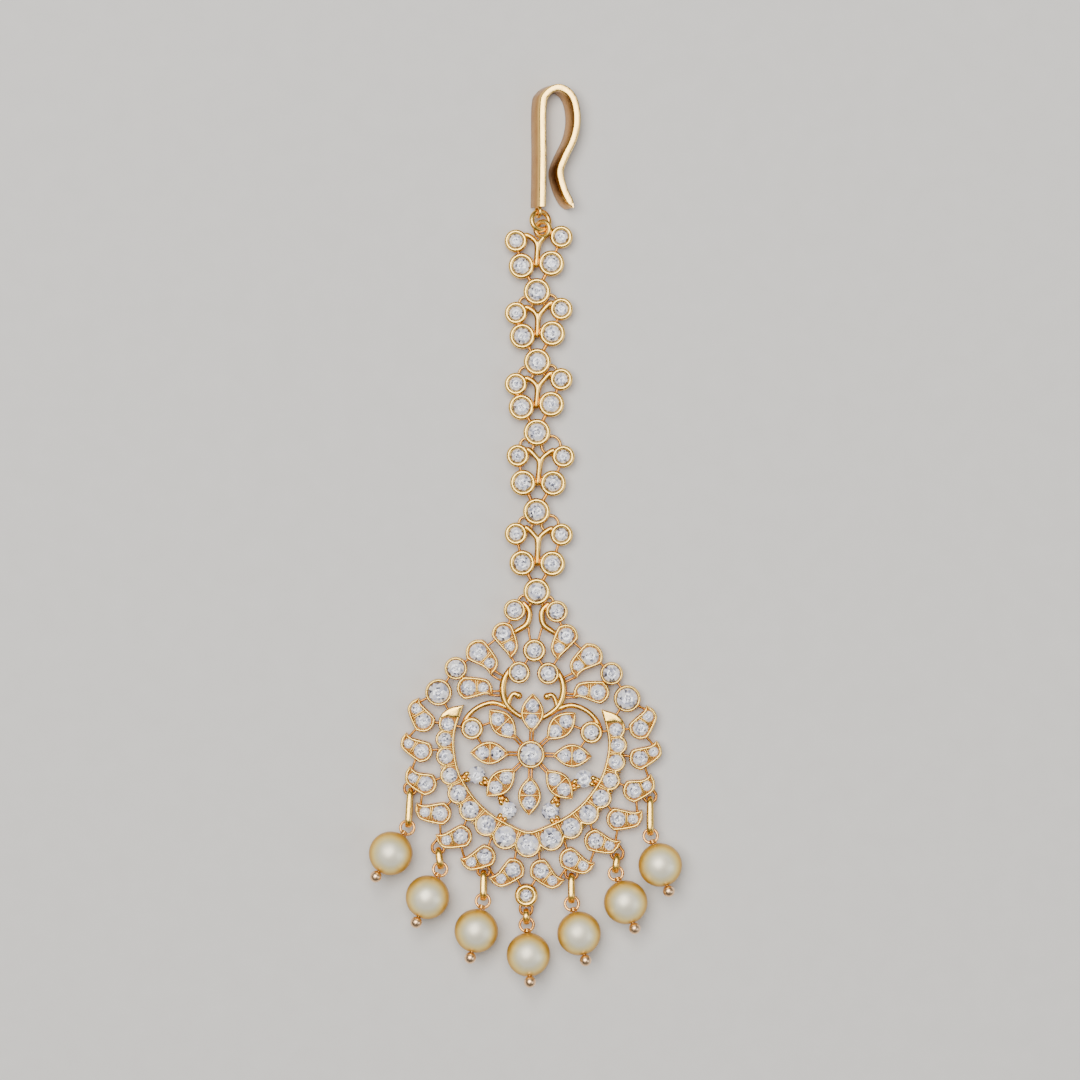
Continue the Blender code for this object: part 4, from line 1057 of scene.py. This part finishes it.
def gold(name, deep, pale, smoothness, grain, stretch=None, low=0.9, high=2.25, wear=0.55):
    """Plated gold with painted shade: darker and redder lower down, paler on its crests, with fine brushing and
    worn patches.
    """
    look = Look(name, Metallic=1.0)
    # Painted shade by height: the deep colour low down, the pale colour on top
    colour = look.mixed(look.span(look.height(), low * MM, high * MM), deep, pale)
    worn = look.span(look.noise(700.0, 3.0), 0.35, 0.70, 0.0, wear)
    colour = look.mixed(worn, colour, tuple(min(c * k, 1.0) for c, k in zip(pale, (1.02, 1.06, 1.15))))
    fine = look.noise(5200.0, 5.0, stretch)
    rough = look.span(fine, 0.3, 0.7, smoothness - 0.07, smoothness + 0.10)
    bump = look.node("Bump", "Normal", Strength=grain, Distance=0.03 * MM, Height=fine)
    return look.finished(Base_Color=colour, Roughness=rough, Normal=bump)


def stone_material():
    look = Look("stone", IOR=2.1)
    # Each facet's tint is its painted reflection
    tint = look.node("VertexColor", "Color")
    tint.node.layer_name = "tint"
    cloud = look.noise(2600.0, 2.0)
    colour = look.mixed(look.span(cloud, 0.35, 0.75, 0.0, 0.30), tint, (0.80, 0.80, 0.90))
    return look.finished(Base_Color=colour, Roughness=look.span(cloud, 0.3, 0.7, 0.03, 0.09))


def pearl_material():
    """Nacre with painted light by height: a cream painted highlight above, darker at the very top as a painted
    reflection, golden painted shade towards the sides; with a soft sheen and faint clouds.
    """
    look = Look("pearl", Metallic=0.40, IOR=1.5, Coat_Weight=0.12, Coat_Roughness=0.22)
    clouds = look.noise(420.0, 3.0)
    added = look.node("Math", "Value")
    look.links.new(look.height(), added.node.inputs[0])
    look.links.new(look.span(clouds, 0.3, 0.7, -0.10 * MM, 0.10 * MM), added.node.inputs[1])
    # Painted light by height: golden painted shade round the sides, a cream painted highlight near the top,
    # darker at the very top as a painted reflection
    colour = look.ramp(look.span(added, 1.5 * MM, 6.0 * MM), (
        (0.0, (0.78, 0.58, 0.28)), (0.32, (0.62, 0.37, 0.08)), (0.46, (0.54, 0.28, 0.02)),
        (0.62, (0.74, 0.41, 0.02)), (0.76, (1.0, 0.76, 0.24)), (0.86, (1.0, 0.89, 0.52)),
        (0.93, (1.0, 0.95, 0.74)), (1.0, (0.85, 0.79, 0.62)),
    ))
    return look.finished(Base_Color=colour, Roughness=look.span(clouds, 0.3, 0.7, 0.38, 0.46))


def floor_material():
    look = Look("paper", Roughness=0.9)
    return look.finished(Base_Color=look.mixed(look.noise(300.0, 6.0), (0.70, 0.69, 0.67), (0.76, 0.75, 0.73)))


# Stage

def plane(name, size, location):
    mesh = bpy.data.meshes.new(name)
    half = size / 2.0
    corners = [(-half, -half, 0.0), (half, -half, 0.0), (half, half, 0.0), (-half, half, 0.0)]
    mesh.from_pydata(corners, [], [(0, 1, 2, 3)])
    obj = bpy.data.objects.new(name, mesh)
    obj.location = location
    bpy.context.scene.collection.objects.link(obj)
    return obj


def area_light(name, location, target, size, power, colour=(1.0, 1.0, 1.0)):
    light = bpy.data.lights.new(name, "AREA")
    light.shape = "RECTANGLE"
    light.size, light.size_y = size
    light.energy = power
    light.color = colour
    obj = bpy.data.objects.new(name, light)
    obj.location = location
    obj.rotation_euler = (Vector(target) - Vector(location)).to_track_quat("-Z", "Y").to_euler()
    bpy.context.scene.collection.objects.link(obj)


def build_stage():
    middle = Vector((1.25, 29.4, 0.0)) * MM
    floor = plane("floor", 4.0, (middle.x, middle.y, -0.15 * MM))
    floor.data.materials.append(floor_material())
    area_light("soft_box", middle + Vector((-0.16, 0.20, 0.95)), middle, (0.8, 0.7), 15.0, (1.0, 0.97, 0.93))
    area_light("side_fill", middle + Vector((0.75, -0.20, 0.55)), middle, (0.4, 0.8), 2.0, (0.93, 0.96, 1.0))
    world = bpy.data.worlds.new("studio")
    world.use_nodes = True
    world.node_tree.nodes["Background"].inputs["Color"].default_value = (0.92, 0.94, 1.0, 1.0)
    world.node_tree.nodes["Background"].inputs["Strength"].default_value = 0.10
    bpy.context.scene.world = world
    camera = bpy.data.cameras.new("camera")
    camera.lens = 135.0
    camera.sensor_width = 36.0
    camera.clip_start = 0.01
    obj = bpy.data.objects.new("camera", camera)
    view_width = 148.07 * MM
    obj.location = middle + Vector((0.0, 0.0, view_width * camera.lens / camera.sensor_width + 2.0 * MM))
    bpy.context.scene.collection.objects.link(obj)
    bpy.context.scene.camera = obj


def main():
    # Each gold goes from its deep colour low down to its pale colour on top, as painted shade
    satin = gold("gold_satin", (0.50, 0.18, 0.02), (1.00, 0.64, 0.15), 0.24, 0.22)
    # A darker gold for the low wires, struts and staples: painted shade
    recess_shade = gold("gold_recess_painted_shade", (0.36, 0.12, 0.015), (0.74, 0.34, 0.06), 0.32, 0.5)
    polished = gold("gold_polished", (0.72, 0.34, 0.06), (1.00, 0.64, 0.15), 0.29, 0.12)
    # A nearly black gold for the sunken floors and round the girdles: painted shade
    pit_shade = gold("gold_pit_painted_shade", (0.15, 0.055, 0.012), (0.26, 0.11, 0.025), 0.40, 0.9)
    # The hook's strip: its sides darker than its top face, as painted shade
    brushed = gold("gold_brushed", (0.46, 0.22, 0.05), (1.00, 0.66, 0.20), 0.26, 0.24, stretch=(1.0, 0.12, 1.0),
                   low=1.9, high=2.75, wear=0.12)
    rose = gold("rose_gold_wire", (0.70, 0.28, 0.05), (0.98, 0.52, 0.14), 0.26, 0.12)
    ball = gold("rose_gold_ball", (0.86, 0.48, 0.24), (1.00, 0.66, 0.38), 0.32, 0.10)
    metals = (satin, stone_material(), recess_shade, polished, brushed, pit_shade)
    build_pendant(metals)
    top = build_chain(metals)
    build_hook(top, metals)
    build_drops(metals, (rose, ball), (pearl_material(),))
    build_stage()


main()
